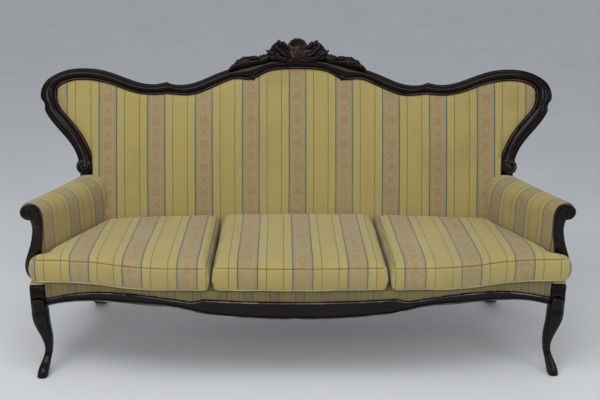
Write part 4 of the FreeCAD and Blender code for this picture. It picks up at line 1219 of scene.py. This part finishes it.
class SofaPolishFrame(bpy.types.Operator):
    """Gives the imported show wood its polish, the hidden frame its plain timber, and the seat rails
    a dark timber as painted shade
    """
    bl_idname = "sofa.polish_frame"
    bl_label = "Polish the frame"

    def execute(self, context):
        finishes = {"show_wood": "polished show wood", "frame_wood": "frame beech"}
        for part in frame["record"]["subparts"]:
            finish = finishes.get(part["material_slot"])
            # The seat rails show under the apron's arch; their dark timber is painted shade of the
            # sofa's underside
            if part["node"].startswith("seat_rail_"):
                finish = "stained rail wood"
            if finish:
                for slot in frame["nodes"][part["node"]].material_slots:
                    slot.material = material(finish)
        return {"FINISHED"}


class SofaCarveCrest(bpy.types.Operator):
    """Carves the shell, rosette and leaves of the crest and the scroll lines"""
    bl_idname = "sofa.carve_crest"
    bl_label = "Carve the crest"

    def execute(self, context):
        crest_carving()
        carved_scrolls()
        rail_edges()
        return {"FINISHED"}


class SofaCarveLegs(bpy.types.Operator):
    """Carves the front legs and lays pale painted highlight beads along the edges of the apron"""
    bl_idname = "sofa.carve_legs"
    bl_label = "Carve the legs"

    def execute(self, context):
        for side, sign in SIDES.items():
            front_leg(side, sign)
        apron_edges()
        return {"FINISHED"}


class SofaStuffBack(bpy.types.Operator):
    """Stuffs the back and stretches its lining and outside cloth"""
    bl_idname = "sofa.stuff_back"
    bl_label = "Stuff the back"

    def execute(self, context):
        stuffed_back()
        back_sheet("back_outer_cover", "back_outside_cloth", "yellow outside cloth",
                   half_width=0.975, depth=-0.047, slack=0.0006)
        back_sheet("back_canvas", "back_lining", "canvas",
                   half_width=0.984, depth=-0.0198, slack=0.0)
        return {"FINISHED"}


class SofaStuffArms(bpy.types.Operator):
    """Stuffs the rolled arms and covers them on the outside"""
    bl_idname = "sofa.stuff_arms"
    bl_label = "Stuff the arms"

    def execute(self, context):
        for side, sign in SIDES.items():
            stuffed_arm(side)
            loose_sheet("arm_outer_cover_" + side, "arm_outside_cloth_" + side,
                        "yellow outside cloth", (-0.0012 * sign, 0, 0))
        return {"FINISHED"}


class SofaStuffSeat(bpy.types.Operator):
    """Stuffs the seat deck and its front border and stretches the seat cloths"""
    bl_idname = "sofa.stuff_seat"
    bl_label = "Stuff the seat"

    def execute(self, context):
        def narrowed(where, facing, centre):
            return 2.1 * where[:, 0], where[:, 2], np.zeros(len(where))

        # The border's cloth is darkened as painted shade under the cushions
        softened_piece("front_border", "seat_border", "striped border cloth",
                       0.005, 2, narrowed)
        softened_piece("seat_deck_pad", "seat_deck", "deck cloth", 0.009, 3)
        loose_sheet("seat_canvas", "seat_lining", "canvas", (0, 0, 0))
        loose_sheet("dust_cover", "seat_dust_cloth", "black dust cloth",
                    (0, 0, -0.003))
        for node, name in (("seat_webbing", "seat_webs"), ("back_webbing", "back_webs")):
            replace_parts(dressed(node_copy(node, name), "jute webbing"), node)
        return {"FINISHED"}


class SofaFillCushions(bpy.types.Operator):
    """Plumps the three loose cushions and sews their piping and seams"""
    bl_idname = "sofa.fill_cushions"
    bl_label = "Fill the cushions"

    def execute(self, context):
        for which in CUSHION_STRIPES:
            seat_cushion(which)
        return {"FINISHED"}


class SofaSetStage(bpy.types.Operator):
    """Lays the pale floor and sets the lamps and the camera"""
    bl_idname = "sofa.set_stage"
    bl_label = "Set the stage"

    def execute(self, context):
        reach = 60.0
        corners = [(-reach, -reach, 0), (reach, -reach, 0), (reach, reach, 0), (-reach, reach, 0)]
        mesh = bpy.data.meshes.new("floor")
        mesh.from_pydata(corners, [], [(0, 1, 2, 3)])
        mesh.materials.append(floor_finish())
        linked("floor", mesh)
        studio_world()
        for name, place, target, size, power, colour in (
                ("overhead", (-0.5, -1.2, 3.2), (0, 0, 0.5), (3.2, 1.8), 47, (0.95, 0.97, 1.0)),
                ("front", (-1.8, -3.4, 2.3), (0, 0, 0.7), (2.2, 1.6), 33, (1.0, 0.98, 0.95)),
                ("right", (2.6, -2.2, 1.9), (0.2, 0, 0.6), (1.4, 1.6), 13, (0.97, 0.98, 1.0))):
            area_light(name, place, target, size, power, colour)
        camera()
        context.scene.view_settings.view_transform = "Standard"
        return {"FINISHED"}


class SofaPanel(bpy.types.Panel):
    """Sizes, colours and steps of the sofa"""
    bl_idname = "VIEW3D_PT_sofa"
    bl_label = "Cabriole sofa"
    bl_space_type = "VIEW_3D"
    bl_region_type = "UI"
    bl_category = "Sofa"

    def draw(self, context):
        for group in (context.scene.sofa_sizes, context.scene.sofa_colours):
            box = self.layout.box()
            for name in group.__annotations__:
                box.prop(group, name)
        for step in STEPS:
            self.layout.operator(step.bl_idname)


STEPS = (SofaPolishFrame, SofaCarveCrest, SofaCarveLegs, SofaStuffBack, SofaStuffArms,
         SofaStuffSeat, SofaFillCushions, SofaSetStage)
CLASSES = (SofaSizes, SofaColours, *STEPS, SofaPanel)


def register():
    for one in CLASSES:
        bpy.utils.register_class(one)
    bpy.types.Scene.sofa_sizes = PointerProperty(type=SofaSizes)
    bpy.types.Scene.sofa_colours = PointerProperty(type=SofaColours)


def unregister():
    del bpy.types.Scene.sofa_colours
    del bpy.types.Scene.sofa_sizes
    for one in reversed(CLASSES):
        bpy.utils.unregister_class(one)


def main():
    register()
    for step in STEPS:
        group, name = step.bl_idname.split(".")
        getattr(getattr(bpy.ops, group), name)()


if __name__ == "__main__":
    main()
